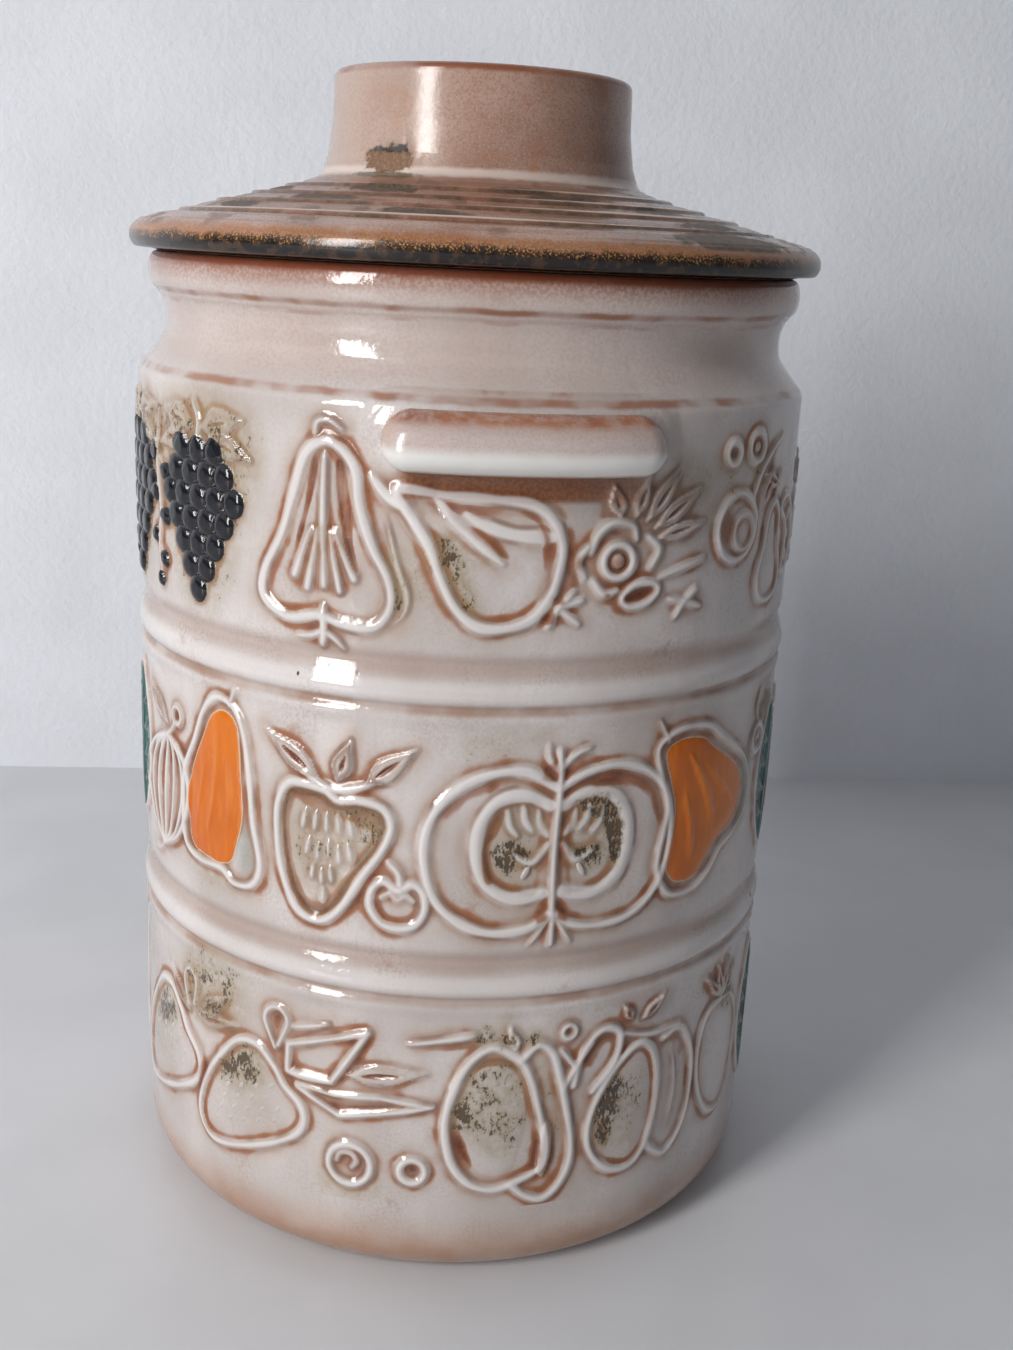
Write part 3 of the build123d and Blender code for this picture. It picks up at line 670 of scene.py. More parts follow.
def plum(pen):
    outline = [(0.2, 22.4), (-3.6, 18), (-6, 9), (-7.2, 0), (-6.9, -8), (-5.6, -15), (-2.8, -20.5),
               (1, -22.4), (4.6, -20.4), (8.4, -17), (9.3, -11), (8.7, -3), (7.7, 4), (6.6, 11), (4.6, 18)]
    pen.pillow([(0, 18), (-4, 10), (-4.8, -4), (-1, -17), (4, -16), (5.8, 2), (3.6, 14)], 0.3, 9)
    pen.line(outline, 3.6, closed=True)
    pen.line([(4.6, 18), (7.4, 22.4), (9.8, 19.6), (11.2, 12.6), (12.6, 2.4), (13.8, -8.4), (13.8, -16.6),
              (12, -23.4), (9.4, -26.8), (6.4, -25.2), (4, -21.4)], 3.6, 1.15)
    pen.pillow([(8.8, -3), (10.4, -4), (10.4, -14), (9.2, -20), (8, -16)], 0.8, 2)
    pen.fill([(6.6, 18), (8.6, 18), (10.4, 8), (12, -6), (11.6, -18), (10, -8), (8.6, 4)], "stain", 0.5, 1.0)
    pen.strip(outline, "rust", 0.75, 1.5, 3.2)
    pen.fill([(-3.4, 14), (-1, 19), (3, 18.4), (4.8, 13), (2.6, 15.6), (-1, 16)], "rust", 1.5, 0.6)
    pen.fill([(-5.4, -4), (-3.8, -8), (-2.6, -15), (-3.6, -14), (-5.2, -9)], "rust", 1.6, 0.4)
    pen.fill([(-5.6, 6), (-4, 4), (-3.6, -2), (-5.2, -3.6), (-6, 0)], "stain", 2.0, 0.5)
    pen.fill([(-3.6, 17), (3, 18), (6, 4), (3, -12), (-3, -6), (-5, 6)], "stain", 0.85, 2)
    pen.line([(-13.4, 23), (-6, 25.4), (-2.6, 26.4)], 2.8, 1.2, taper=0.5)
    pen.fill([(-11, 22), (-4, 24), (-3, 22.8), (-9, 20.6)], "rust", 0.9, 0.7)
    pen.leaf((4, 21), (2.6, 29), 1.8)
    pen.fill([(-3.4, 25), (-1.6, 29), (0.4, 27), (-1, 23)], "stain", 1.8, 0.5)
    pen.fill([(1, 26), (2.4, 28), (3, 23), (1.4, 22)], "stain", 2.0, 0.4)
    pen.fill([(5, 24), (7, 27), (8, 23), (6, 22)], "stain", 1.6, 0.5)
    pen.ring(12.5, 25.4, 2.1, 2.2)


def forked_twig(pen):
    pen.line([(-2.5, -7), (-0.5, 0), (2.5, 7)], 2.8, taper=0.3)
    pen.line([(-0.5, 0), (-3.2, 6)], 2.4, 1.1, taper=0.3)


def pods(pen):
    """Three long fruits side by side, hung from one branch."""
    first = [(-12.6, 9), (-11.4, 19), (-8, 25), (-4.6, 23), (-5, 15), (-9.2, 6)]
    middle = [(-1, 17.5), (-6.2, 10), (-9.4, -2), (-9.4, -12), (-6, -20), (-1, -22.3), (2.4, -17), (4.2, -6),
              (4.2, 6), (2.4, 15)]
    last = [(5.4, 16.5), (9.4, 17.5), (12.8, 8), (13.4, -5), (12, -16), (8, -23), (4.4, -20), (2.6, -17)]
    pen.line(first, 3.2)
    pen.line(middle, 3.4, closed=True)
    pen.line(last, 3.2)
    pen.pillow(middle, 0.6, 7)
    pen.line([(7.6, 12), (8.8, 0), (8, -14)], 2.2, 0.5, taper=0.7)
    pen.line([(-4, 22.5), (2, 19.5), (9, 19)], 2.4, 1.1, taper=0.3)
    pen.strip(middle, "rust", 0.9, 1.5, 3.4)
    pen.fill([(-8.2, 2), (-4.6, 10), (-3.4, 4), (-5, -8), (-6.4, -14), (-8.2, -10)], "stain", 1.7, 0.8)
    pen.fill([(-7.6, -4), (-6, -3), (-5.4, -13), (-6.8, -12)], "rust", 1.3, 0.6)
    pen.fill([(-4, 8), (1, 8), (1, -12), (-4, -14)], "stain", 0.6, 3)
    pen.fill([(4.6, 15), (8.8, 15.6), (10.6, 10), (10.4, 4), (8.6, 10), (5, 12)], "rust", 1.0, 0.7)
    pen.fill([(-11, 17), (-8, 22.4), (-5.6, 21.4), (-7.4, 19), (-9.4, 13)], "rust", 1.0, 0.6)
    pen.leaf((0, 25), (5, 31), 1.8)
    pen.leaf((-2, 26), (-4, 31), 1.6)


def oval_fruit(pen):
    outline = [(-4, 18), (-7, 8), (-6.4, -5), (-3, -16), (1.6, -20), (6, -16), (8.4, -5), (8, 9), (4, 18)]
    pen.pillow(outline, 0.6, 8)
    pen.line(outline, 3.0, closed=True)
    for tip in ((-6, 30), (-2, 33), (2.6, 33), (6, 29)):
        pen.leaf((0, 20), tip, 1.7)
    pen.fill([(0, 20), (3, 24), (6, 20), (5, 13), (1, 14)], "stain", 1.3, 1.2)


MIRRORED = True

# The motifs of each band in the order they are drawn: degrees round, height, mirrored or not, and size
LUG_MOTIFS = (
    (hanging_pear, -3, 212),
    (berry_sprig, 16.5, 212),
    (halved_pear, -29, 215),
    (round_fruit, 39, 217),
    (small_pear, 51, 208),
)
UPPER_MOTIFS = (
    (bean_pod, 58.5, 210),
    (berry_sprig, 72, 212),
    (halved_pear, 100.5, 215, MIRRORED),
    (single_berry, 119, 204),
    (single_berry, 129, 216, MIRRORED),
)
GRAPE_MOTIFS = (
    (grape_bunch, -54, 215.5),
    (currant_sprig, -66.2, 214),
)
MIDDLE_MOTIFS = (
    (broad_leaf, -79.5, 140),
    (ribbed_nut, -66, 133),
    (orange_pear, -50, 138),
    (strawberry, -27, 130),
    (cherry, -16.5, 117),
    (halved_apple, 7.7, 132),
    (leaning_orange_pear, 38, 138),
    (single_berry, 54, 151),
    (broad_leaf, 61.5, 137),
    (ribbed_nut, 77, 134, MIRRORED),
    (strawberry, 97, 130, MIRRORED),
    (cherry, 108, 117),
    (orange_pear, 121, 138, MIRRORED),
    (halved_apple, 154, 132, MIRRORED),
    (broad_leaf, 184, 139),
    (strawberry, 202, 130),
    (cherry, 213, 117, MIRRORED),
    (leaning_orange_pear, 233, 138),
    (ribbed_nut, 256, 133),
    (single_berry, 269, 147),
    (single_berry, 270.5, 122, MIRRORED),
)
LOWER_MOTIFS = (
    (lying_strawberry, -67, 50, not MIRRORED, 1.05),
    (leaf_cluster, -53, 73),
    (lying_strawberry, -43, 48),
    (crown_leaves, -35, 73),
    (curled_berries, -23.5, 38),
    (plum, -0.5, 53),
    (forked_twig, 14, 67),
    (pods, 26, 52),
    (oval_fruit, 48, 51),
    (broad_leaf, 65, 55),
    (lying_strawberry, 84, 48, MIRRORED),
    (leaf_cluster, 81, 75, MIRRORED),
    (plum, 108, 53),
    (curled_berries, 131, 38, MIRRORED),
    (leaf_cluster, 134, 70),
    (pods, 155, 52, MIRRORED),
    (oval_fruit, 178, 51),
    (broad_leaf, 196, 55),
    (lying_strawberry, 214, 48),
    (crown_leaves, 222, 73),
    (curled_berries, 233.5, 38),
    (plum, 257, 53),
)
BUNCH_COUNT = 3
BUNCH_PITCH = 24.5


def draw_motifs(band, motifs, turn=0.0):
    """Draw a list of motifs on a band, all turned round the pot by some degrees."""
    for motif, angle, height, *options in motifs:
        motif(Pen(band, angle + turn, height, *options))


def upper_band(band):
    """The band under the shoulder, with the lugs."""
    for lug in LUG_ANGLES:
        draw_motifs(band, LUG_MOTIFS, lug)
    draw_motifs(band, UPPER_MOTIFS)
    for number in range(BUNCH_COUNT):
        draw_motifs(band, GRAPE_MOTIFS, -BUNCH_PITCH * number)
    for lug in LUG_ANGLES:
        lug_seat(band, lug)


def lug_seat(band, angle):
    """The wall swells to meet a lug, and a brown finger recess lies under it."""
    centre = angle * ARC
    cells, around, up = band.window([(centre - SEAT_REACH, SEAT_BOTTOM), (centre + SEAT_REACH, SEAT_TOP)], 0)
    along = np.abs(around - centre)
    away = np.hypot(np.maximum(along - LUG_STRAIGHT, 0), up - LUG_CENTRE) - LUG_HEIGHT / 2
    collar = np.clip((COLLAR_REACH - away) / 5.5, 0, 1)
    flare = COLLAR_RISE * collar * collar * (3 - 2 * collar) + 0.5 * np.clip(1 - away / 3, 0, 1)
    flare *= np.clip((up - 230) / 6, 0, 1) * np.clip((SHOULDER_SEAM - 0.6 - up) / 4, 0, 1)
    band.swell[cells] = np.maximum(band.swell[cells], flare)
    drop = np.clip(1 - ((up - RECESS_CENTRE) / (RECESS_HEIGHT / 2)) ** 2, 0, 1)
    band.swell[cells] -= RECESS_DEPTH * drop * np.clip((LUG_STRAIGHT + 1 - along) / 7, 0, 1)
    brown = np.clip((up - RECESS_COLOUR_BOTTOM) / 1.2, 0, 1) * np.clip((LUG_STRAIGHT + 4.5 - along) / 3, 0, 1)
    band.stain("bare", cells, brown * np.clip((LUG_CENTRE - up) / 3, 0, 1))


def middle_band(band):
    """The band with the orange pears and the halved apples."""
    draw_motifs(band, MIDDLE_MOTIFS)


def lower_band(band):
    """The band above the foot."""
    draw_motifs(band, LOWER_MOTIFS)


# The relief panels' side seam in degrees round, and the strips their bake map is cut into
PANEL_SEAM = -94.5
PANEL_STRIPS = 2
BAKE_MARGIN = 0.006


def link(name, data):
    """Put an object with this data in the scene."""
    piece = bpy.data.objects.new(name, data)
    bpy.context.scene.collection.objects.link(piece)
    return piece


def add_object(name, vertices, faces, material):
    """A mesh object at the origin; vertices come in millimetres."""
    mesh = bpy.data.meshes.new(name)
    mesh.from_pydata(np.asarray(vertices) * MM, [], faces)
    mesh.polygons.foreach_set("use_smooth", [True] * len(mesh.polygons))
    mesh.materials.append(material)
    return link(name, mesh)


def quads(rows, columns):
    """Faces of a grid of vertices kept column by column, facing out of the wall."""
    first = (np.arange(columns - 1)[:, None] * rows + np.arange(rows - 1)[None, :]).ravel()
    return np.stack([first, first + rows, first + rows + 1, first + 1], axis=1)


def paint_attribute(mesh, name, values):
    attribute = mesh.attributes.new(name, "FLOAT", "POINT")
    attribute.data.foreach_set("value", np.asarray(values, np.float32))


def panel_surface(band, columns):
    """Points and outward normals of the wall at some columns, with the band's marks on it."""
    ghost = np.concatenate([[band.low - band.row_step], band.height, [band.height[-1] + band.row_step]])
    marks = np.pad((band.rise + band.swell)[columns % COLUMNS], ((0, 0), (1, 1)), mode="edge")
    radius = np.minimum(wall_radius(ghost)[None, :] + marks, RELIEF_RADIUS)
    turn = columns[:, None] * 2 * math.pi / COLUMNS
    height = np.broadcast_to(ghost, radius.shape)
    points = np.stack([radius * np.cos(turn), radius * np.sin(turn), height], axis=2)
    normals = np.cross(np.gradient(points, axis=0), np.gradient(points, axis=1))
    normals /= np.linalg.norm(normals, axis=2, keepdims=True)
    return points[1:-1, 1:-1].reshape(-1, 3), normals[1:-1, 1:-1].reshape(-1, 3)


def panel_faces(rows, count):
    """Faces of a closed slab: its grid in front, its lower and upper edges, its back and its two ends."""
    faces = quads(rows, count).tolist()
    back = rows * count
    for number in range(count - 1):
        low, high = number * rows, number * rows + rows - 1
        back_low, back_high = back + number * 2, back + number * 2 + 1
        faces.append([back_low + 2, low + rows, low, back_low])
        faces.append([back_high, high, high + rows, back_high + 2])
        faces.append([back_low, back_high, back_high + 2, back_low + 2])
    for number, turned in ((0, False), (count - 1, True)):
        edge = [number * rows + row for row in range(rows)] + [back + number * 2 + 1, back + number * 2]
        faces.append(edge[::-1] if turned else edge)
    return faces


def panel(name, band, first, last, material):
    """One closed slab of the wall, from one column to another, with the band's marks on its face."""
    columns = np.arange(first - 1, last + 2)
    face, normals = panel_surface(band, columns)
    inner = columns[1:-1]
    count = len(inner)
    turns = inner * 2 * math.pi / COLUMNS
    ends = (band.height[0], band.height[-1])
    back = np.array([(PANEL_BACK * math.cos(t), PANEL_BACK * math.sin(t), z) for t in turns for z in ends])
    piece = add_object(name, np.vstack([face, back]), panel_faces(band.rows, count), material)
    mesh = piece.data
    inward = back * [-1 / PANEL_BACK, -1 / PANEL_BACK, 0]
    mesh.normals_split_custom_set_from_vertices(np.concatenate([normals, inward]))
    blank = np.zeros(len(back))
    fields = {"line_reach": LINE_REACH - band.edge, "hollow": band.hollow, **band.tints}
    for field, values in fields.items():
        paint_attribute(mesh, field, np.concatenate([values[inner % COLUMNS].ravel(), blank]))
    share = np.repeat(np.arange(count) / (count - 1), band.rows) * PANEL_STRIPS
    lift = np.tile((band.height - band.low) / (band.height[-1] - band.low), count)
    lay_in_strips(mesh, np.append(share, blank), np.append(lift, blank), PANEL_STRIPS)
    return piece


def lay_in_strips(mesh, share, lift, strip_count):
    """A bake map: the long surface cut into strips that lie one above another."""
    corner_vertex = np.empty(len(mesh.loops), int)
    mesh.loops.foreach_get("vertex_index", corner_vertex)
    starts = np.empty(len(mesh.polygons), int)
    mesh.polygons.foreach_get("loop_start", starts)
    totals = np.empty(len(mesh.polygons), int)
    mesh.polygons.foreach_get("loop_total", totals)
    u, v = share[corner_vertex], lift[corner_vertex]
    strip = np.minimum(np.floor(np.minimum.reduceat(u, starts) + 1e-6), strip_count - 1)
    strip = np.repeat(strip, totals)
    across = BAKE_MARGIN + (u - strip) * (1 - 2 * BAKE_MARGIN)
    upward = (strip + BAKE_MARGIN * strip_count + v * (1 - 2 * BAKE_MARGIN * strip_count)) / strip_count
    layer = mesh.uv_layers.new(name="OFBake")
    layer.data.foreach_set("uv", np.stack([across, upward], axis=1).ravel().astype(np.float32))


# How finely a rounded corner is cut, and the turned forms' steps round the pot and along their outlines
CORNER_STEP = 0.5
CORE_SEGMENTS = 256
CORE_STEP = 4.0
LID_SEGMENTS = 320
LID_STEP = 2.0
TURNED_CREASE = 62
WELD = 2e-6
DEGENERATE = 1e-7


def round_corners(corners, closed=True):
    """An outline of radius and height pairs, with each corner rounded as given."""
    outline = []
    count = len(corners)
    for number, (radius, height, rounding) in enumerate(corners):
        here = np.array([radius, height], float)
        if rounding == 0 or (not closed and number in (0, count - 1)):
            outline.append(here)
            continue
        before = np.array(corners[number - 1][:2], float) - here
        after = np.array(corners[(number + 1) % count][:2], float) - here
        before /= np.linalg.norm(before)
        after /= np.linalg.norm(after)
        half = math.acos(np.clip(before @ after, -1, 1)) / 2
        reach = rounding / math.tan(half)
        centre = here + (before + after) / np.linalg.norm(before + after) * rounding / math.sin(half)
        start = here + before * reach - centre
        end = here + after * reach - centre
        sweep = math.pi - 2 * half
        steps = max(3, math.ceil(sweep * rounding / CORNER_STEP))
        for step in range(steps + 1):
            t = step / steps
            blend = (math.sin((1 - t) * sweep) * start + math.sin(t * sweep) * end) / math.sin(sweep)
            outline.append(centre + blend)
    return outline


def split_long(outline, step):
    """The same closed outline with no stretch longer than a step."""
    fine = []
    for start, end in zip(outline, outline[1:] + outline[:1]):
        count = max(1, math.ceil(np.linalg.norm(end - start) / step))
        fine += [start + (end - start) * number / count for number in range(count)]
    return np.array(fine)


def turned_form(name, outline, segments, material, shape=None):
    """Turn a closed outline about the pot's axis; its ends on the axis close to one point each."""
    rows = len(outline)
    turn = np.arange(segments + 1) * 2 * math.pi / segments
    radius = np.broadcast_to(outline[:, 0], (segments + 1, rows)).copy()
    height = np.broadcast_to(outline[:, 1], (segments + 1, rows)).copy()
    if shape:
        radius, height = shape(turn[:, None], radius, height)
    points = np.stack([radius * np.cos(turn)[:, None], radius * np.sin(turn)[:, None], height], axis=2)
    piece = add_object(name, points.reshape(-1, 3), quads(rows, segments + 1).tolist(), material)
    mesh = piece.data
    gaps = np.linalg.norm(np.diff(outline, axis=0), axis=1)
    travel = np.concatenate([[0], np.cumsum(gaps)]) / gaps.sum()
    share = np.repeat(np.arange(segments + 1) / segments, rows)
    lay_in_strips(mesh, share, np.tile(travel, segments + 1), 1)
    shell = bmesh.new()
    shell.from_mesh(mesh)
    bmesh.ops.remove_doubles(shell, verts=shell.verts, dist=WELD)
    bmesh.ops.dissolve_degenerate(shell, edges=shell.edges, dist=DEGENERATE)
    bmesh.ops.recalc_face_normals(shell, faces=shell.faces)
    shell.to_mesh(mesh)
    shell.free()
    mesh.set_sharp_from_angle(angle=math.radians(TURNED_CREASE))
    return piece


# The jar's core: its gap to the table, its hollow foot, floor and inside, how far it stands behind the
# panels and laps under their upper seam, and its neck and rolled rim
STAND_OFF = 0.02
FOOT_HOLLOW = 2.5
FLOOR_TOP = 11.5
INSIDE_RADIUS = 93.0
MOUTH_RADIUS = 84.0
CORE_INSET = 0.3
SEAM_LAP = 0.8
NECK_PROFILE = (
    (92.9, 256.4),
    (91.5, 258.8),
    (91.0, 262.0),
    (91.2, 265.4),
    (92.2, 268.4),
    (93.0, 269.5),
    (93.6, 270.6),
    (94.7, 271.6),
    (95.4, 273.4),
    (95.7, 276.2),
    (95.3, 278.6),
    (94.4, 280.3),
    (92.8, 281.0),
)


def jar_core(material):
    """The pot's foot, inside, neck and rim, with its outside set back behind the relief panels."""
    back = PANEL_BACK + CORE_INSET
    lap = SHOULDER_SEAM - SEAM_LAP
    foot = round_corners(
        [
            (0, FOOT_HOLLOW, 0),
            (74, FOOT_HOLLOW, 1.2),
            (76.5, STAND_OFF, 1.0),
            (FIELD_RADIUS, STAND_OFF, 13),
            (FIELD_RADIUS, FOOT_TOP, 0),
        ],
        closed=False,
    )
    shoulder = [
        (float(wall_radius(lap)) - 0.06, lap),
        (float(wall_radius(SHOULDER_SEAM)) - 0.004, SHOULDER_SEAM),
        (float(wall_radius(SHOULDER_SEAM + 1)), SHOULDER_SEAM + 1),
    ]
    neck = smooth_path([*shoulder, *NECK_PROFILE], step=0.6)
    inside = round_corners(
        [
            (88.0, JAR_TOP, 0),
            (MOUTH_RADIUS, JAR_TOP, 2.5),
            (MOUTH_RADIUS, 260, 8),
            (INSIDE_RADIUS, 249, 8),
            (INSIDE_RADIUS, FLOOR_TOP, 14),
            (0, FLOOR_TOP, 0),
        ],
        closed=False,
    )
    outside = [np.array([back, FOOT_TOP]), np.array([back, lap])]
    outline = split_long([*foot, *outside, *neck, *inside], CORE_STEP)
    end = next(number for number, point in enumerate(outline) if point[0] == 0 and point[1] == FLOOR_TOP)
    return turned_form("jar_core", outline[: end + 1], CORE_SEGMENTS, material)


# The lugs' bars: stops round an end and along a side, layers out from the wall, how square their
# section is, how far they stop short of the solid's, and where they start inside the wall
LUG_END_STEPS = 36
LUG_SIDE_STEPS = 70
LUG_LAYERS = 26
LUG_SQUARENESS = 2.7
LUG_GAP = 0.15
LUG_ROOT = (-1.4, BODY_RADIUS - 4)
LUG_CREASE = 70
LUG_WELD = 1e-5


def lug_stations():
    """Stops round a lug's outline: where each lies along the bar's core, and the way it faces."""
    stations = []
    for start, turn in ((LUG_STRAIGHT, 0.5 * math.pi), (-LUG_STRAIGHT, 1.5 * math.pi)):
        for step in range(LUG_SIDE_STEPS):
            stations.append((start - 2 * start * step / LUG_SIDE_STEPS, turn))
        for step in range(LUG_END_STEPS):
            stations.append((-start, turn + math.pi * step / LUG_END_STEPS))
    return stations


def lug_vertices(angle):
    """Points of one lug, layer by layer from its root in the wall to its front, as (layers, stops, 3)."""
    half = LUG_HEIGHT / 2
    stations = lug_stations()
    core = np.array([x for x, turn in stations])
    facing = np.array([(math.cos(turn), math.sin(turn)) for x, turn in stations])
    reach = LUG_RADIUS - LUG_GAP - FIELD_RADIUS
    layers = [LUG_ROOT]
    for step in range(LUG_LAYERS + 1):
        left = max(0.0, math.cos(math.pi / 2 * step / LUG_LAYERS))
        grown = (1 - left**LUG_SQUARENESS) ** (1 / LUG_SQUARENESS)
        layers.append((half * (1 - left), FIELD_RADIUS + reach * grown))
    vertices = []
    for inset, radius in layers:
        along = core + (half - inset) * facing[:, 0]
        up = (half - inset) * facing[:, 1]
        bulge = max(radius - FIELD_RADIUS, 0)
        above = np.clip(up / half, -1, 1)
        end_fall = np.clip((np.abs(along) - LUG_STRAIGHT * 0.6) / (LUG_STRAIGHT * 0.4 + half), 0, 1)
        out = radius - bulge * (0.16 * np.clip(above + 0.15, 0, 1) + 0.16 * end_fall**2)
        turn = along / BODY_RADIUS + math.radians(angle)
        lift = LUG_CENTRE + up - 0.05 * bulge * (1 - np.abs(above))
        vertices.append(np.stack([out * np.cos(turn), out * np.sin(turn), lift], axis=1))
    return np.array(vertices)


def lug_bar(name, angle, material):
    """One lug: a long rounded bar that grows out of the wall, fuller below than above."""
    vertices = lug_vertices(angle)
    layers, count = vertices.shape[:2]
    faces = []
    for low in range(0, (layers - 1) * count, count):
        for number in range(count):
            after = (number + 1) % count
            faces.append([low + number, low + after, low + count + after, low + count + number])
    faces.append(list(range(count))[::-1])
    piece = add_object(name, vertices.reshape(-1, 3), faces, material)
    shell = bmesh.new()
    shell.from_mesh(piece.data)
    bmesh.ops.remove_doubles(shell, verts=shell.verts, dist=LUG_WELD)
    bmesh.ops.contextual_create(shell, geom=[edge for edge in shell.edges if edge.is_boundary])
    bmesh.ops.recalc_face_normals(shell, faces=shell.faces)
    shell.to_mesh(piece.data)
    shell.free()
    piece.data.set_sharp_from_angle(angle=math.radians(LUG_CREASE))
    return piece


# The lid's turned profile, out from its axis. A ridge's corners are given as how far out, how many
# ridge steps up and how round.
KNOB_ROOT = 303.6
KNOB_INSIDE = 36.5
FLANGE_INSIDE = 76.6
FLANGE_OUTSIDE = 82.6
RIDGE_RADII = (86.4, 76.0, 66.2, 56.6)
RIDGE_STEP = 1.05
RIDGE_CORNERS = ((2.8, -0.6, 1.0), (0.7, -0.55, 0.35), (0.1, 0.4, 0.3), (-0.8, 0.55, 0.35), (-2.2, 0.3, 0.8))
RIM_EDGE = 100.75
RIM_SHOULDER = 98.4
RIM_TOP = 289.2
RIM_BOTTOM = 281.7
SLOPE_RADII = (46.0, *reversed(RIDGE_RADII), RIM_SHOULDER)
SLOPE_HEIGHTS = (303.2, 300.2, 297.7, 295.3, 292.4, RIM_TOP)
SCAR_TURN = math.radians(-41)


def lid_slope(radius):
    """Height of the lid's mean slope at a radius."""
    return float(np.interp(radius, SLOPE_RADII, SLOPE_HEIGHTS))


def lid_outline():
    """The lid's closed outline, from the underside of its knob round the rim to the knob's top."""
    steps = [
        (radius + out, lid_slope(radius) + RIDGE_STEP * up, rounding)
        for radius in RIDGE_RADII
        for out, up, rounding in RIDGE_CORNERS
    ]
    corners = [
        (0, LID_TOP - 8.1, 0),
        (KNOB_INSIDE, LID_TOP - 8.1, 5),
        (KNOB_INSIDE, 296.5, 4.5),
        (FLANGE_INSIDE, 288.6, 2),
        (FLANGE_INSIDE, FLANGE_BOTTOM + STAND_OFF, 2),
        (FLANGE_OUTSIDE, FLANGE_BOTTOM + STAND_OFF, 2),
        (FLANGE_OUTSIDE, JAR_TOP, 0.6),
        (93.1, JAR_TOP, 0.3),
        (96.4, RIM_BOTTOM, 0.8),
        (99.6, RIM_BOTTOM, 1.6),
        (RIM_EDGE, 284.0, 2.2),
        (RIM_EDGE, 286.6, 3.5),
        (RIM_SHOULDER, RIM_TOP, 5.0),
        (93.0, lid_slope(93.0) + 0.3, 6),
        *steps,
        (46.6, KNOB_ROOT + 0.1, 3.4),
        (44.6, 309.5, 2.5),
        (43.4, 318, 8),
        (42.9, LID_TOP - 0.25, 2.2),
        (39.0, LID_TOP - 0.35, 3.5),
        (33.0, LID_TOP - 1.5, 5),
        (0, LID_TOP - 1.9, 0),
    ]
    return split_long(round_corners(corners), LID_STEP)


def weather_lid(turn, radius, height):
    """Slight throwing waves on the lid, and a rough blemish in the glaze on its knob's root."""
    slope = (radius > 47) & (height > 289)
    height = height + slope * 0.16 * np.sin(radius * 2.6 + 1.6 * np.sin(turn * 2))
    away = np.hypot((turn - math.pi * 2 - SCAR_TURN) * 44 / 6.5, (height - 307.4) / 4.0)
    ragged = 0.3 * np.sin(turn * 61 + 1.3 * np.sin(height * 1.9)) + 0.25 * np.sin(height * 2.7 + turn * 38)
    pit = -0.5 * np.clip((1.1 + ragged - away) * 2.5, 0, 1)
    knob = (radius > 42) & (radius < 50) & (height > 300)
    return radius + knob * pit, height


def value_sum(operation, turned=False):
    """A sum of a Value and a Value or number; turned is for a number that comes first."""

    def work_out(self, other):
        pair = (other, self) if turned else (self, other)
        node = self.glaze.node("ShaderNodeMath", {"operation": operation}, dict(enumerate(pair)))
        return Value(self.glaze, node.outputs[0])

    return work_out


class Value:
    """A number that varies over a surface: a node's output that takes part in sums."""

    def __init__(self, glaze, socket):
        self.glaze = glaze
        self.socket = socket

    __add__ = value_sum("ADD")
    __radd__ = value_sum("ADD", True)
    __sub__ = value_sum("SUBTRACT")
    __rsub__ = value_sum("SUBTRACT", True)
    __mul__ = value_sum("MULTIPLY")
    __truediv__ = value_sum("DIVIDE")
    __pow__ = value_sum("POWER")
    at_most = value_sum("MINIMUM")
    at_least = value_sum("MAXIMUM")

    def __neg__(self):
        return self * -1.0

    def size(self):
        return self.at_least(-self)

    def past(self, start, end):
        """0 before the start and 1 beyond the end, softly; the end may lie below the start."""
        node = self.glaze.node(
            "ShaderNodeMapRange",
            {"interpolation_type": "SMOOTHSTEP", "clamp": True},
            {"Value": self, "From Min": start, "From Max": end},
        )
        return Value(self.glaze, node.outputs[0])


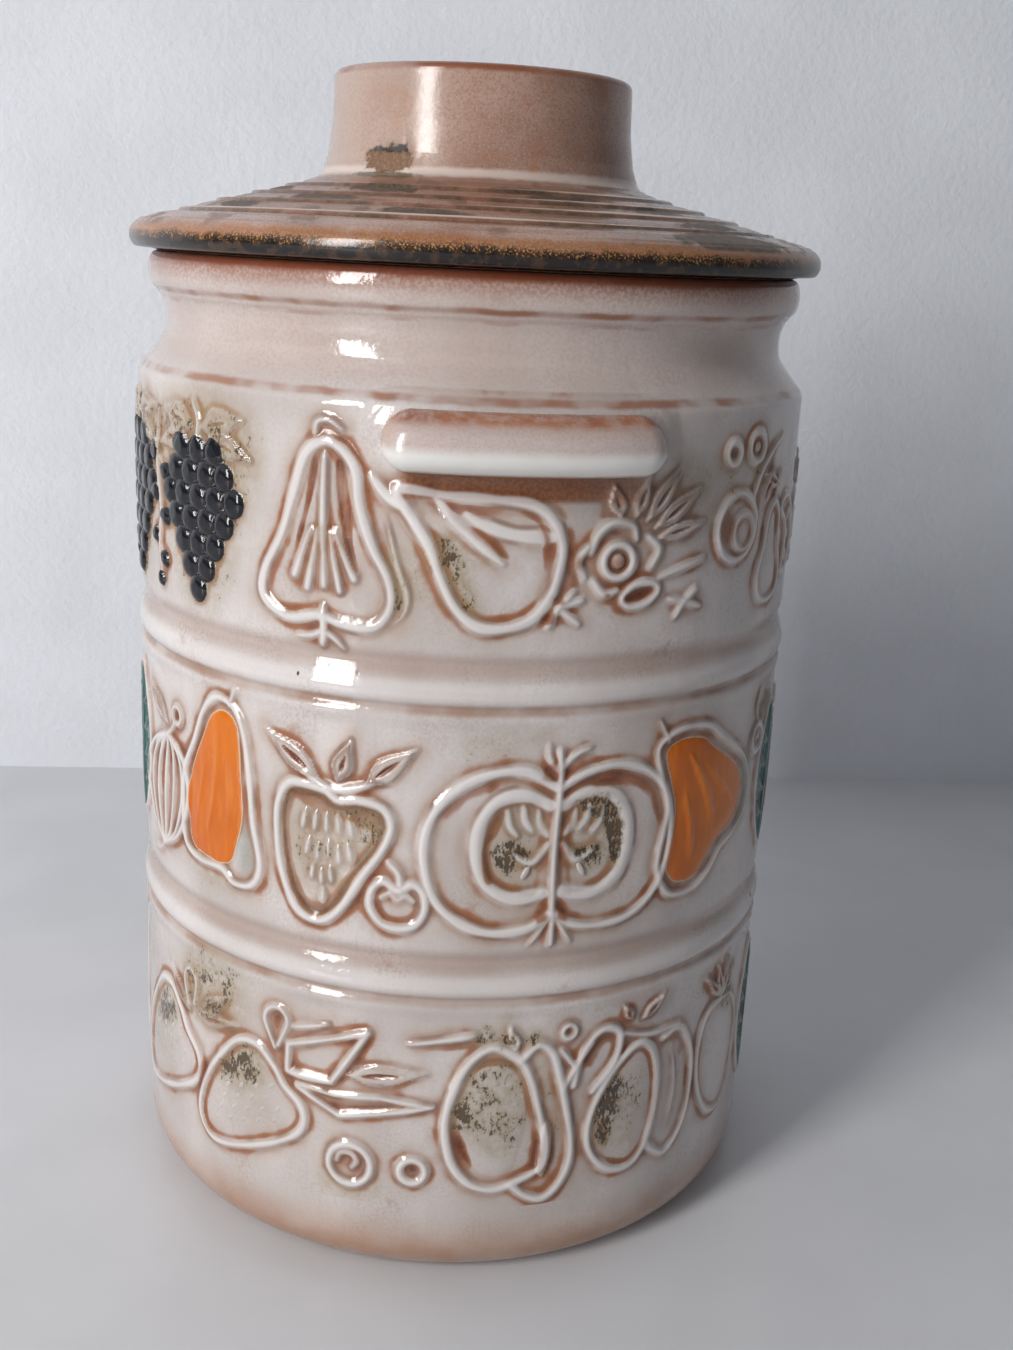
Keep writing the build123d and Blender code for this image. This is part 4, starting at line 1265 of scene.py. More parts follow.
class Glaze:
    """One fired finish: a material whose nodes are written as sums and named calls."""

    def __init__(self, name):
        self.material = bpy.data.materials.new(name)
        self.material.use_nodes = True
        self.tree = self.material.node_tree
        self.shader = self.tree.nodes["Principled BSDF"]
        self.place = self.node("ShaderNodeTexCoord").outputs["Object"]
        parts = self.node("ShaderNodeSeparateXYZ", {}, {"Vector": self.place}).outputs
        self.x, self.y, self.z = (Value(self, part) * (1 / MM) for part in parts)
        self.radius = (self.x**2 + self.y**2) ** 0.5

    def node(self, kind, settings=None, sockets=None):
        made = self.tree.nodes.new(kind)
        for name, value in (settings or {}).items():
            setattr(made, name, value)
        for key, value in (sockets or {}).items():
            self.feed(made.inputs[key], value)
        return made

    def feed(self, socket, value):
        if isinstance(value, Value):
            value = value.socket
        if isinstance(value, bpy.types.NodeSocket):
            self.tree.links.new(value, socket)
        elif isinstance(value, tuple) and len(socket.default_value) == 4:
            socket.default_value = (*value, 1.0)
        else:
            socket.default_value = value

    def noise(self, size, detail=2.0, roughness=0.5, warp=0.0, stretch=1.0):
        """Noise from 0 to 1: how large its patches are, in millimetres, and how far drawn out upwards."""
        place = self.place
        if stretch != 1.0:
            squeeze = {0: place, 1: (1.0, 1.0, 1 / stretch)}
            place = self.node("ShaderNodeVectorMath", {"operation": "MULTIPLY"}, squeeze).outputs["Vector"]
        node = self.node(
            "ShaderNodeTexNoise",
            {"noise_dimensions": "3D"},
            {"Vector": place, "Scale": 1 / (size * MM), "Detail": detail, "Roughness": roughness,
             "Distortion": warp},
        )
        return Value(self, node.outputs["Fac"])

    def painted(self, name):
        """A value kept on the mesh, 0 where a piece has none."""
        node = self.node("ShaderNodeAttribute", {"attribute_type": "GEOMETRY", "attribute_name": name})
        return Value(self, node.outputs["Fac"])

    def mix(self, under, over, amount):
        """One colour laid over another."""
        node = self.node(
            "ShaderNodeMix",
            {"data_type": "RGBA", "clamp_factor": True},
            {0: amount, 6: under, 7: over},
        )
        return node.outputs[2]

    def lay(self, colour, amount):
        """Lay one more colour over the glaze so far."""
        self.colour = self.mix(self.colour, colour, amount)

    def line_at(self, value, centre, half):
        """1 on a thin line where a value meets a number, 0 away from it."""
        return (value - centre).size().past(half, half * 0.25)

    def away_from(self, angle, radius):
        """How far a place lies, seen from above, from one at some radians round and a radius."""
        along_x = self.x - radius * math.cos(angle)
        along_y = self.y - radius * math.sin(angle)
        return (along_x**2 + along_y**2) ** 0.5

    def finish(self, roughness, bumps):
        """Feed the shader; bumps pair a height value with its depth in millimetres."""
        self.feed(self.shader.inputs["Base Color"], self.colour)
        self.feed(self.shader.inputs["Roughness"], roughness)
        self.shader.inputs["IOR"].default_value = GLAZE_IOR
        normal = None
        for height, depth in bumps:
            sockets = {"Height": height, "Distance": depth * MM, "Strength": 1.0}
            if normal:
                sockets["Normal"] = normal
            normal = self.node("ShaderNodeBump", {}, sockets).outputs["Normal"]
        self.feed(self.shader.inputs["Normal"], normal)
        return self.material


# Shared by the glazes: how they bend light, and the white of the crests. Iron spots are given as
# degrees, height and size, and the lid's dark patches as degrees, radius, and reach round and out.
GLAZE_IOR = 1.52
CREST_WHITE = shade(0.86, 0.84, 0.83)
IRON_SPOTS = ((-23.5, 181, 0.9), (-2.7, 101.2, 1.0), (-33, 178, 0.4), (61, 96, 0.6))
DARK_PATCHES = (
    (35, 94.5, 21, 7.0), (41, 81, 14, 3.4), (33, 69, 12, 3.2), (14, 61, 12, 3.0), (2, 55, 9, 2.6),
    (-33, 59, 12, 3.4), (-42, 70, 13, 3.2), (-19, 81.5, 12, 3.0), (-60, 80, 12, 3.0), (-75, 62, 11, 4.0),
    (110, 70, 16, 4.0), (150, 84, 16, 5.0), (185, 58, 12, 3.5), (215, 76, 15, 4.5), (250, 66, 13, 3.5),
)


class BodyGlaze(Glaze):
    """Thick white glaze that breaks rust brown where it runs thin, over pale grey stoneware."""

    def __init__(self):
        super().__init__("body_glaze")
        self.edge = LINE_REACH - self.painted("line_reach")
        self.hollow = self.painted("hollow")
        self.laid = self.painted("rust")
        self.bare = self.painted("bare")
        self.orange = self.painted("orange")
        self.broad = self.noise(46, 2)
        self.drift = self.noise(15, 2)
        self.blotch = self.noise(9, 3)
        self.patch = self.noise(3.4, 3)
        self.grain = self.noise(0.9, 2)
        self.wobbled = self.z + (self.blotch - 0.5) * 1.2
        self.crest = self.edge.past(-0.1, -1.1) * (1 - self.laid.at_most(1.0) * 0.85)

    def lay_white(self):
        """The thick glaze, with faint curtains, clouds and grains, and a painted shade beside each line."""
        self.colour = self.mix(shade(0.81, 0.78, 0.77), shade(0.73, 0.69, 0.67), self.broad.past(0.36, 0.66))
        self.lay(shade(0.68, 0.61, 0.56), self.noise(2.6, 3, stretch=5).past(0.45, 0.75) * 0.12)
        self.lay(shade(0.66, 0.58, 0.52), self.drift.past(0.5, 0.75) * self.grain.past(0.4, 0.7) * 0.3)
        grains = self.grain.past(0.38, 0.72) * (0.12 + self.drift.past(0.3, 0.7) * 0.16)
        self.lay(shade(0.66, 0.60, 0.56), grains)
        # Painted shade beside each raised line, fading out over six millimetres from it.
        painted_line_shade = self.edge.past(6.0, 0.3) * (0.15 + self.blotch.past(0.3, 0.7) * 0.45) * (1 - self.crest)
        self.lay(shade(0.68, 0.58, 0.51), painted_line_shade)

    def lay_turned_forms(self):
        """The neck, the painted shade below the lid, the double rings, the hollows' tan and the foot."""
        drift, grain, wobbled = self.drift, self.grain, self.wobbled
        self.lay(shade(0.72, 0.64, 0.60), self.z.past(249, 256) * (0.5 + grain.past(0.4, 0.65) * 0.2))
        # Painted shade on the neck under the lid's overhanging rim.
        self.lay(shade(0.58, 0.38, 0.29), wobbled.past(272.5, 279) * (0.5 + grain.past(0.35, 0.6) * 0.35))
        for ring in RING_HEIGHTS:
            fine = self.line_at(wobbled, ring - FINE_GROOVE_DROP, 2.3) * (0.35 + drift.past(0.35, 0.65) * 0.5)
            self.lay(shade(0.60, 0.47, 0.39), fine.at_least(self.line_at(wobbled, ring, 5.0) * 0.45))
            self.lay(CREST_WHITE, self.line_at(self.z, ring - BEAD_DROP + 1.0, 3.6) * 0.5)
        tan = (self.hollow + (self.blotch - 0.5) * 0.10).past(0.02, 0.18) * 0.45
        self.lay(shade(0.62, 0.50, 0.42), tan)
        self.lay(shade(0.63, 0.48, 0.38), wobbled.past(24, 7) * (0.7 + drift.past(0.3, 0.7) * 0.25))

    def lay_rust(self):
        """Rust brown in hollows, on thin lines at the shoulder and neck, and on the lip below the lid."""
        drift, wobbled = self.drift, self.wobbled
        breaking = self.hollow + (drift - 0.5) * 0.55 + (self.patch - 0.5) * 0.14 + self.laid * 0.20
        rust = breaking.past(0.11, 0.25)
        for height, half, strength in (
            (250.2, 1.5, 0.2 + drift.past(0.35, 0.6) * 0.65),
            (271.0, 1.2, 0.35 + drift.past(0.4, 0.6) * 0.5),
            (268.4, 0.8, drift.past(0.42, 0.6) * 0.4),
        ):
            rust = rust.at_least(self.line_at(wobbled, height, half) * strength)
        self.rust = rust.at_least(wobbled.past(277.6, 279.6) * 0.9)
        colour = self.mix(shade(0.58, 0.37, 0.25), shade(0.39, 0.19, 0.10), breaking.past(0.22, 0.48))
        colour = self.mix(colour, shade(0.68, 0.40, 0.20), self.grain.past(0.5, 0.75) * 0.35)
        self.lay(colour, self.rust * (0.55 + drift.past(0.40, 0.58) * 0.4).at_least(self.laid * 0.8))
        self.lay(shade(0.47, 0.22, 0.14), wobbled.past(277.4, 279.4) * 0.75)
        # Near black on the jar's top edge: partly dark glaze, partly a painted shadow of the gap under the
        # lid.
        self.lay(shade(0.20, 0.10, 0.07), self.z.past(280.5, 280.9))
        # A thin painted shade at the foot of the raised lines, where their undercut falls dark.
        painted_edge_shade = self.edge.past(1.3, 0.4) * self.edge.past(-0.8, 0.2) * self.noise(12, 2).past(0.42, 0.66)
        self.lay(shade(0.46, 0.31, 0.23), painted_edge_shade * 0.6)

    def lay_bare_clay(self):
        """Brown clay in the finger recesses, and white on the crests of the lines."""
        colour = self.mix(shade(0.52, 0.33, 0.23), shade(0.60, 0.40, 0.28), self.grain.past(0.35, 0.65))
        colour = self.mix(colour, shade(0.42, 0.25, 0.18), self.drift.past(0.45, 0.7) * 0.6)
        self.lay(colour, self.bare)
        self.lay(CREST_WHITE, self.crest * 0.75)

    def lay_stains(self):
        """Grey smoke, olive stain, and the dark crumbs that gather in it."""
        crest, patch, stain = self.crest, self.patch, self.painted("stain")
        smoke = self.painted("smoke") * (0.6 + self.grain * 0.4)
        self.lay(shade(0.55, 0.55, 0.52), smoke * (1 - crest * 0.6))
        olive = stain.at_most(1.0) * (0.35 + patch.past(0.3, 0.6) * 0.4) * (1 - crest * 0.65)
        self.lay(shade(0.60, 0.54, 0.42), olive)
        crumbs = self.noise(0.9, 4, roughness=0.65, stretch=1.7)
        soot = crumbs + stain.at_most(1.5) * 0.28 + (patch - 0.5) * 0.6 + (self.blotch - 0.5) * 0.4
        soot = soot.past(0.76, 0.92) * stain.past(0.08, 0.3) * (1 - crest * 0.6)
        soot_colour = self.mix(shade(0.15, 0.11, 0.08), shade(0.28, 0.20, 0.12), patch.past(0.45, 0.6))
        self.lay(soot_colour, soot * 0.88)

    def lay_fruit_colours(self):
        """Orange, green and black glaze in the pears, leaves and grapes."""
        streak = self.noise(2.4, 3, stretch=5)
        orange = self.mix(shade(0.83, 0.44, 0.03), shade(0.75, 0.35, 0.02), self.broad.past(0.35, 0.65))
        orange = self.mix(orange, shade(0.88, 0.53, 0.13), streak.past(0.45, 0.75) * 0.35)
        orange = self.mix(orange, shade(0.90, 0.58, 0.22), self.crest * 0.3)
        self.lay(shade(0.80, 0.72, 0.62), self.orange.past(0.02, 0.3))
        self.lay(orange, (self.orange + (self.patch - 0.5) * 0.5).past(0.35, 0.6))
        green = self.mix(shade(0.20, 0.38, 0.35), shade(0.08, 0.20, 0.17), streak.past(0.35, 0.7))
        self.lay(green, self.painted("green").past(0.3, 0.7) * (1 - self.crest * 0.45))
        self.lay(shade(0.09, 0.09, 0.11), self.painted("black").past(0.3, 0.6))

    def lay_iron_spots(self):
        for angle, height, size in IRON_SPOTS:
            level = self.away_from(math.radians(angle), BODY_RADIUS)
            away = (level**2 + (self.z - height) ** 2 * 0.35) ** 0.5
            self.lay(shade(0.36, 0.17, 0.09), away.past(size * 1.6, size))


def body_glaze():
    """The jar's glaze, laid in its order; bare clay shows under the foot."""
    glaze = BodyGlaze()
    glaze.lay_white()
    glaze.lay_turned_forms()
    glaze.lay_rust()
    glaze.lay_bare_clay()
    glaze.lay_stains()
    glaze.lay_fruit_colours()
    glaze.lay_iron_spots()
    clay = glaze.z.past(0.9, 0.3)
    glaze.lay(shade(0.70, 0.60, 0.50), clay)
    roughness = 0.07 + glaze.rust * 0.10 + glaze.bare * 0.22 + glaze.patch * 0.04
    roughness = roughness + glaze.orange * 0.12 + clay * 0.6
    bumps = [(glaze.blotch, 0.22), (glaze.noise(2.4, 2), 0.06), (glaze.noise(0.5, 1), 0.004)]
    return glaze.finish(roughness, bumps)


def lug_glaze():
    """The lug: speckled above, thick white below, and rust along its upper edge."""
    glaze = Glaze("lug_glaze")
    broad = glaze.noise(14, 2)
    patch = glaze.noise(3.2, 3)
    grain = glaze.noise(0.8, 2)
    height = glaze.z + (broad - 0.5) * 1.4
    glaze.colour = glaze.mix(shade(0.76, 0.70, 0.68), shade(0.70, 0.61, 0.57), grain.past(0.38, 0.66) * 0.4)
    glaze.lay(shade(0.87, 0.86, 0.84), height.past(240.8, 237.6))
    glaze.lay(shade(0.66, 0.53, 0.46), height.past(241.5, 246.0) * 0.4)
    top = height.past(244.2, 246.6) * (0.35 + patch.past(0.3, 0.65) * 0.6)
    rust_colour = glaze.mix(shade(0.66, 0.42, 0.28), shade(0.55, 0.27, 0.14), broad.past(0.4, 0.65))
    glaze.lay(rust_colour, top)
    ends = (glaze.y.size() - (glaze.radius - 104) * 0.3).past(30.0, 34.0)
    glaze.lay(shade(0.70, 0.57, 0.48), ends * height.past(237, 243) * 0.5)
    specks = glaze.noise(0.5, 1).past(0.70, 0.76) * height.past(238, 240)
    glaze.lay(shade(0.45, 0.36, 0.30), specks * 0.35)
    underside = glaze.z.past(234.2, 232.9)
    glaze.lay(shade(0.50, 0.34, 0.25), underside)
    roughness = 0.14 + top * 0.12 + underside * 0.2 + patch * 0.06
    return glaze.finish(roughness, [(broad, 0.2), (glaze.noise(1.4, 2), 0.03)])


class LidGlaze(Glaze):
    """Pinkish brown speckled glaze, dark on the ridges in patches and almost black round the rim."""

    def __init__(self):
        super().__init__("lid_glaze")
        self.broad = self.noise(30, 2)
        self.blotch = self.noise(11, 3, warp=0.4)
        self.patch = self.noise(3.0, 3)
        self.grain = self.noise(0.8, 2)
        self.speck = self.noise(0.5, 1)
        self.slope = self.radius.past(46, 48) * self.z.past(287.0, 288.4)

    def by_ridges(self, offset, half):
        """1 on a thin line beside every ridge, 0 away from them."""
        found = self.line_at(self.radius, RIDGE_RADII[0] + offset, half)
        for ridge in RIDGE_RADII[1:]:
            found = found.at_least(self.line_at(self.radius, ridge + offset, half))
        return found

    def lay_pink(self):
        """The speckled ground, rustier in blotches, and a painted light that lightens the knob's -Y side."""
        self.colour = self.mix(shade(0.70, 0.58, 0.52), shade(0.60, 0.46, 0.39), self.broad.past(0.35, 0.65))
        self.lay(shade(0.54, 0.38, 0.30), self.grain.past(0.42, 0.68) * 0.45)
        self.lay(shade(0.78, 0.70, 0.65), self.speck.past(0.56, 0.7) * 0.3)
        self.lay(shade(0.66, 0.43, 0.29), self.blotch.past(0.54, 0.70) * 0.45)
        # Painted light: the knob's -Y side, which faces the window, is made lighter.
        painted_lit_side = (-self.y).past(2, 42) * (0.4 + self.broad.past(0.3, 0.7) * 0.4) * self.radius.past(54, 48)
        self.lay(shade(0.73, 0.67, 0.63), painted_lit_side)

    def lay_treads(self):
        """Brown between the ridges, a painted shadow in the trough outside each, and painted shade towards
        +Y.
        """
        wheel = self.noise(26, 2) + (self.blotch - 0.5) * 0.3
        treads = self.slope * self.radius.past(89, 86) * (0.25 + wheel.past(0.38, 0.56) * 0.4)
        self.lay(shade(0.50, 0.33, 0.25), treads)
        # Painted shadow in the trough outside each ridge, brown to dark olive.
        trough_shadow_colour = self.mix(shade(0.45, 0.28, 0.20), shade(0.27, 0.21, 0.14), wheel.past(0.40, 0.54))
        painted_trough_shadow = self.by_ridges(1.6, 2.6) * self.slope * (0.5 + self.patch.past(0.35, 0.6) * 0.4)
        self.lay(trough_shadow_colour, painted_trough_shadow)
        # Painted shade on the slope's +Y side, away from the window light.
        shaded = self.y.past(0, 55) * (0.35 + wheel.past(0.35, 0.6) * 0.4)
        self.lay(shade(0.42, 0.35, 0.28), shaded * self.slope)

    def lay_dark_patches(self):
        """Near-black patches on the slope, and a pale lip along every ridge."""
        dark = (self.blotch + self.radius * 0.0008).past(0.62, 0.72) * self.slope * 0.5
        for angle, centre, along, across in DARK_PATCHES:
            cosine, sine = math.cos(math.radians(angle)), math.sin(math.radians(angle))
            outward = self.x * cosine + self.y * sine - centre
            sideways = self.y * cosine - self.x * sine
            away = ((outward / across) ** 2 + (sideways / along) ** 2) ** 0.5
            away = away + (self.blotch - 0.5) * 1.6 + (self.patch - 0.5) * 0.9
            dark = dark.at_least(away.past(1.1, 0.75) * self.slope)
        self.dark = dark
        dark_colour = self.mix(shade(0.17, 0.14, 0.11), shade(0.33, 0.26, 0.16), self.grain.past(0.4, 0.6))
        self.lay(dark_colour, dark * (0.6 + self.patch * 0.5))
        self.lay(shade(0.81, 0.74, 0.68), self.by_ridges(-0.5, 0.75) * self.slope * (0.8 - dark * 0.4))

    def lay_rim(self):
        """Rust on the rim's shoulder, golden flecks round its edge, and black below."""
        ragged = self.z + (self.patch - 0.5) * 2.4 + (self.grain - 0.5) * 1.4 + (self.blotch - 0.5) * 3.0
        rim = self.radius.past(94, 96)
        rust = self.mix(shade(0.56, 0.36, 0.23), shade(0.64, 0.44, 0.28), self.speck.past(0.4, 0.6))
        self.lay(rust, ragged.past(289.4, 287.4) * rim * (0.8 - self.dark * 0.7))
        burnt = self.mix(shade(0.24, 0.16, 0.11), shade(0.66, 0.50, 0.28), self.speck.past(0.56, 0.64))
        self.lay(burnt, ragged.past(287.0, 285.4) * rim)
        black = self.mix(shade(0.10, 0.08, 0.07), shade(0.27, 0.19, 0.13), self.patch.past(0.46, 0.62) * 0.8)
        self.lay(black, ragged.past(285.6, 284.0) * self.radius.past(90, 92))

    def lay_knob(self):
        """A rust edge round the knob's top, and thick pale glaze at its root."""
        top = self.line_at(self.z + self.patch * 0.8, 331.9, 1.5) * self.radius.past(40, 41)
        self.lay(shade(0.50, 0.26, 0.14), top * (0.35 + self.noise(18, 2).past(0.4, 0.62) * 0.5))
        root = self.line_at(self.z + (self.patch - 0.5) * 0.8, 304.6, 1.8) * self.radius.past(50, 49)
        self.lay(shade(0.85, 0.79, 0.75), root * 0.7)

    def lay_scar(self):
        """The blemish on the knob's root: bare clay, scorched above, over an olive streak."""
        away = self.away_from(SCAR_TURN, 44.5) / 9.0
        torn = (self.patch - 0.5) * 1.1 + (self.grain - 0.5) * 0.25
        streak = ((away / 1.5) ** 2 + (self.z - 303.4) ** 2) ** 0.5 + torn * 0.8
        self.lay(shade(0.34, 0.30, 0.21), streak.past(1.0, 0.6) * 0.8)
        self.scar = ((away**2 + ((self.z - 307.6) / 4.2) ** 2) ** 0.5 + torn).past(1.0, 0.8)
        scorched = (self.z + (self.patch - 0.5) * 4).past(308.6, 310.0)
        clay = self.mix(shade(0.43, 0.29, 0.17), shade(0.56, 0.42, 0.28), self.grain.past(0.45, 0.65) * 0.7)
        self.lay(self.mix(clay, shade(0.18, 0.12, 0.08), scorched), self.scar * 0.95)

    def lay_inside(self):
        """Plain glaze under the lid and in its knob."""
        outside = self.z.past(288.2, 289.2) * self.radius.past(38, 40)
        self.inside = (1 - outside.at_least(self.radius.past(93.4, 94.2))) * self.z.past(331, 329)
        self.lay(shade(0.66, 0.54, 0.47), self.inside)


def lid_glaze():
    """The lid's glaze, laid in its order."""
    glaze = LidGlaze()
    glaze.lay_pink()
    glaze.lay_treads()
    glaze.lay_dark_patches()
    glaze.lay_rim()
    glaze.lay_knob()
    glaze.lay_scar()
    glaze.lay_inside()
    roughness = 0.15 + glaze.patch * 0.1 + glaze.scar * 0.35 + glaze.inside * 0.15 + glaze.dark * 0.3
    return glaze.finish(roughness, [(glaze.blotch, 0.12), (glaze.noise(1.5, 2), 0.03), (glaze.speck, 0.005)])


# A seed's half sizes, how much its length varies, and how deep its middle sits in the wall
SEED_SIZES = {"Seed Length": 2.1 * MM, "Seed Width": 0.95 * MM, "Seed Rise": 0.6 * MM}
SEED_VARIATION = (0.85, 1.15)
SEED_SINK = 0.1


def seed_points():
    """The seeds' places on the wall, each with its turn, lean and length."""
    guide = bpy.data.meshes.new("seed_points")
    places = []
    for angle, up, lean, length in SEEDS:
        turn = math.radians(angle)
        radius = float(wall_radius(up)) - SEED_SINK
        places.append((radius * math.cos(turn) * MM, radius * math.sin(turn) * MM, up * MM))
    guide.from_pydata(places, [], [])
    for number, name in ((0, "turn"), (2, "lean"), (3, "length")):
        paint_attribute(guide, name, [place[number] for place in SEEDS])
    return link("seed_points", guide)


def seed_tree(material):
    """The node tree that sows one small rounded seed on every point, turned and leaned as the point says."""
    tree = bpy.data.node_groups.new("sow_seeds", "GeometryNodeTree")
    tree.is_modifier = True
    tree.interface.new_socket("Geometry", in_out="INPUT", socket_type="NodeSocketGeometry")
    for name in SEED_SIZES:
        tree.interface.new_socket(name, in_out="INPUT", socket_type="NodeSocketFloat")
    tree.interface.new_socket("Geometry", in_out="OUTPUT", socket_type="NodeSocketGeometry")

    def add(kind, settings=None, **sockets):
        made = tree.nodes.new(kind)
        for name, value in (settings or {}).items():
            setattr(made, name, value)
        for name, value in sockets.items():
            socket = made.inputs[name.replace("_", " ")]
            if isinstance(value, bpy.types.NodeSocket):
                tree.links.new(value, socket)
            else:
                socket.default_value = value
        return made

    def attribute(name):
        return add("GeometryNodeInputNamedAttribute", {"data_type": "FLOAT"}, Name=name).outputs[0]

    entry = add("NodeGroupInput")
    leave = add("NodeGroupOutput")
    size = add("ShaderNodeCombineXYZ", X=entry.outputs["Seed Rise"], Y=entry.outputs["Seed Width"],
               Z=entry.outputs["Seed Length"])
    ball = add("GeometryNodeMeshUVSphere", Segments=10, Rings=7, Radius=1.0)
    smooth = add("GeometryNodeSetShadeSmooth", Geometry=ball.outputs["Mesh"])
    grain = add("GeometryNodeTransform", Geometry=smooth.outputs["Geometry"], Scale=size.outputs[0])
    radians = add("ShaderNodeMath", {"operation": "RADIANS"}, Value=attribute("turn"))
    facing = add("ShaderNodeCombineXYZ", X=attribute("lean"), Y=0.0, Z=radians.outputs[0])
    swing = add("FunctionNodeEulerToRotation", Euler=facing.outputs[0])
    vary = add("FunctionNodeRandomValue", {"data_type": "FLOAT"}, Seed=7)
    vary.inputs[2].default_value, vary.inputs[3].default_value = SEED_VARIATION
    grown_length = add("ShaderNodeMath", {"operation": "MULTIPLY"})
    tree.links.new(attribute("length"), grown_length.inputs[0])
    tree.links.new(vary.outputs[1], grown_length.inputs[1])
    scale = add("ShaderNodeCombineXYZ", X=1.0, Y=1.0, Z=grown_length.outputs[0])
    sown = add("GeometryNodeInstanceOnPoints", Points=entry.outputs["Geometry"],
               Instance=grain.outputs["Geometry"], Rotation=swing.outputs[0], Scale=scale.outputs[0])
    solid = add("GeometryNodeRealizeInstances", Geometry=sown.outputs["Instances"])
    glazed = add("GeometryNodeSetMaterial", Geometry=solid.outputs["Geometry"], Material=material)
    tree.links.new(glazed.outputs["Geometry"], leave.inputs["Geometry"])
    return tree


def seed_pieces(material):
    """Raised seeds and pips on the wall, one small form repeated over points by a node tree."""
    points = seed_points()
    modifier = points.modifiers.new("sow_seeds", "NODES")
    modifier.node_group = seed_tree(material)
    for item in modifier.node_group.interface.items_tree:
        if item.name in SEED_SIZES:
            modifier[item.identifier] = SEED_SIZES[item.name]
    graph = bpy.context.evaluated_depsgraph_get()
    grown = bpy.data.meshes.new_from_object(points.evaluated_get(graph))
    bpy.data.objects.remove(points)
    return link("fruit_seeds", grown)


def make_pot():
    """The jar's pieces and the lid, each riding on its body and standing for its node."""
    glaze = body_glaze()
    lug_finish = lug_glaze()
    low_bead, high_bead = (ring - BEAD_DROP for ring in RING_HEIGHTS)
    bands = (
        ("lower", Band(FOOT_TOP, low_bead), lower_band),
        ("middle", Band(low_bead, high_bead), middle_band),
        ("upper", Band(high_bead, SHOULDER_SEAM), upper_band),
    )
    jar_pieces = []
    first = round(PANEL_SEAM / 360 * COLUMNS)
    middle = first + COLUMNS // 2
    for name, band, draw in bands:
        draw(band)
        band.settle()
        jar_pieces.append(panel(f"{name}_relief_front", band, first, middle, glaze))
        jar_pieces.append(panel(f"{name}_relief_back", band, middle, first + COLUMNS, glaze))
    jar_pieces.append(jar_core(glaze))
    jar_pieces.append(seed_pieces(glaze))
    jar_pieces.append(lug_bar("lug_right", LUG_ANGLES[0], lug_finish))
    jar_pieces.append(lug_bar("lug_left", LUG_ANGLES[1], lug_finish))
    for piece in jar_pieces:
        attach(piece, "jar")
        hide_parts("jar")
    lid = turned_form("turned_lid", lid_outline(), LID_SEGMENTS, lid_glaze(), weather_lid)
    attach(lid, "lid")
    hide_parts("lid")


# The camera, as fitted to the photograph: where it stands, and how it is turned
VIEW_ANGLE = 82.0
CAMERA_DISTANCE = 0.4648
CAMERA_HEIGHT = 0.2874
CAMERA_YAW = 1.82
CAMERA_PITCH = 16.07
CAMERA_ROLL = 2.765
LENS = 40.0
SENSOR = 36.0
CLIP_START = 0.01

# The stage, in metres: how far it reaches, the line where wall and table meet, and the wall's height
STAGE_REACH = 4.0
WALL_LINE = ((-STAGE_REACH, 0.07), (STAGE_REACH, 0.59))
WALL_HEIGHT = 3
ROOM_STRENGTH = 0.18


def plain_finish(name, colour, roughness, depth):
    """A plain stage finish, a little uneven in tone and, by some depth in millimetres, in height."""
    glaze = Glaze(name)
    darker = tuple(0.94 * part for part in colour)
    glaze.colour = glaze.mix(colour, darker, glaze.noise(60, 3).past(0.3, 0.7))
    return glaze.finish(roughness, [(glaze.noise(4, 3), depth)])


def add_plane(name, corners, material):
    """One plane of the stage, its corners given with the camera looking along +Y."""
    mesh = bpy.data.meshes.new(name)
    mesh.from_pydata([view_frame(corner) for corner in corners], [], [(0, 1, 2, 3)])
    mesh.materials.append(material)
    link(name, mesh)


def view_frame(direction):
    """Turn a direction given with the camera looking along +Y into the pot's frame."""
    return Matrix.Rotation(math.radians(VIEW_ANGLE), 4, "Z") @ Vector(direction)


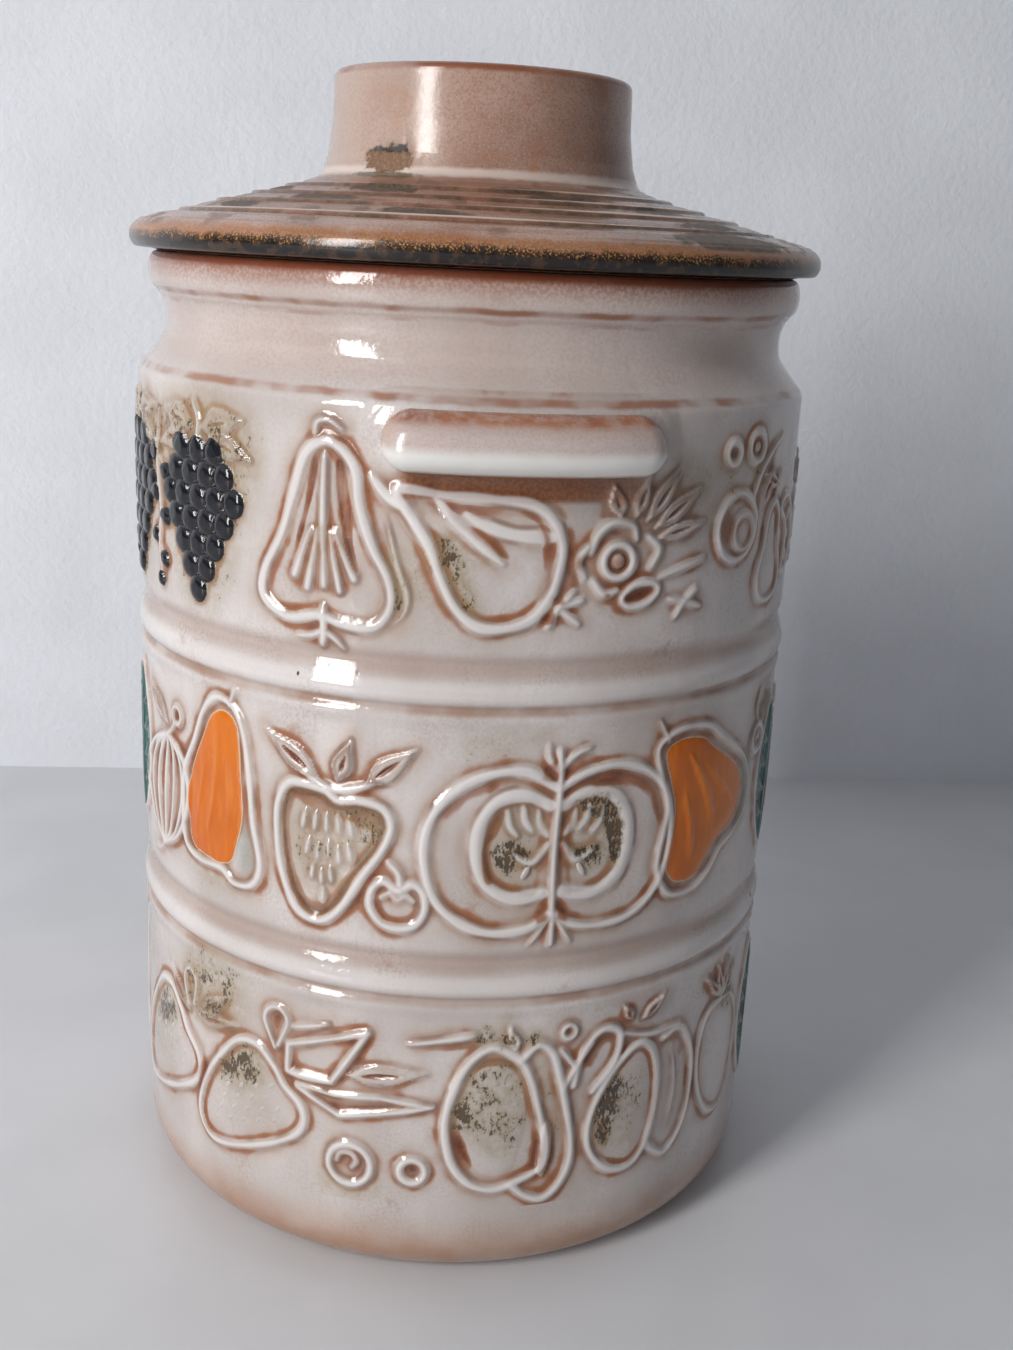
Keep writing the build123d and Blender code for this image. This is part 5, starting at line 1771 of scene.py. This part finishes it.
def make_camera():
    camera_data = bpy.data.cameras.new("camera")
    camera_data.lens = LENS
    camera_data.sensor_width = SENSOR
    camera_data.sensor_fit = "AUTO"
    camera_data.clip_start = CLIP_START
    camera = link("camera", camera_data)
    turn = Matrix.Rotation(math.radians(VIEW_ANGLE - CAMERA_YAW), 4, "Z")
    tilt = Matrix.Rotation(math.radians(90 - CAMERA_PITCH), 4, "X")
    roll = Matrix.Rotation(math.radians(CAMERA_ROLL), 4, "Z")
    place = Matrix.Translation(view_frame((0, -CAMERA_DISTANCE, CAMERA_HEIGHT)))
    camera.matrix_world = place @ turn @ tilt @ roll
    bpy.context.scene.camera = camera


def area_light(name, place, target, width, height, power, colour):
    lamp = bpy.data.lights.new(name, "AREA")
    lamp.shape = "RECTANGLE"
    lamp.size = width
    lamp.size_y = height
    lamp.energy = power
    lamp.color = colour
    light = link(name, lamp)
    place = view_frame(place)
    light.location = place
    light.rotation_mode = "QUATERNION"
    light.rotation_quaternion = (view_frame(target) - place).to_track_quat("-Z", "Y")


def make_stage():
    """A pale table, a pale wall behind it, a window light from the left and a soft room."""
    table = plain_finish("pale_table", shade(0.85, 0.85, 0.86), 0.32, 0.02)
    wall = plain_finish("pale_wall", shade(0.89, 0.90, 0.92), 0.7, 0.5)
    left, right = WALL_LINE
    front = ((-STAGE_REACH, -STAGE_REACH, 0), (STAGE_REACH, -STAGE_REACH, 0))
    add_plane("table", [*front, (*right, 0), (*left, 0)], table)
    add_plane("wall", [(*left, 0), (*right, 0), (*right, WALL_HEIGHT), (*left, WALL_HEIGHT)], wall)
    area_light("window", (-1.0, -1.12, 0.72), (0, 0, 0.2), 0.34, 1.0, 20, (1.0, 0.99, 0.98))
    area_light("room_left", (-1.9, -0.9, 1.7), (0, 0, 0.15), 2.6, 2.2, 12, (0.95, 0.98, 1.0))
    area_light("room_front", (0.3, -2.4, 1.5), (0, 0, 0.15), 2.6, 2.0, 4, (1.0, 0.99, 0.97))
    world = bpy.data.worlds.new("room")
    world.use_nodes = True
    background = world.node_tree.nodes["Background"].inputs
    background["Color"].default_value = (*shade(0.86, 0.88, 0.92), 1)
    background["Strength"].default_value = ROOM_STRENGTH
    bpy.context.scene.world = world
    bpy.context.scene.view_settings.view_transform = "Standard"


make_camera()
make_stage()
make_pot()
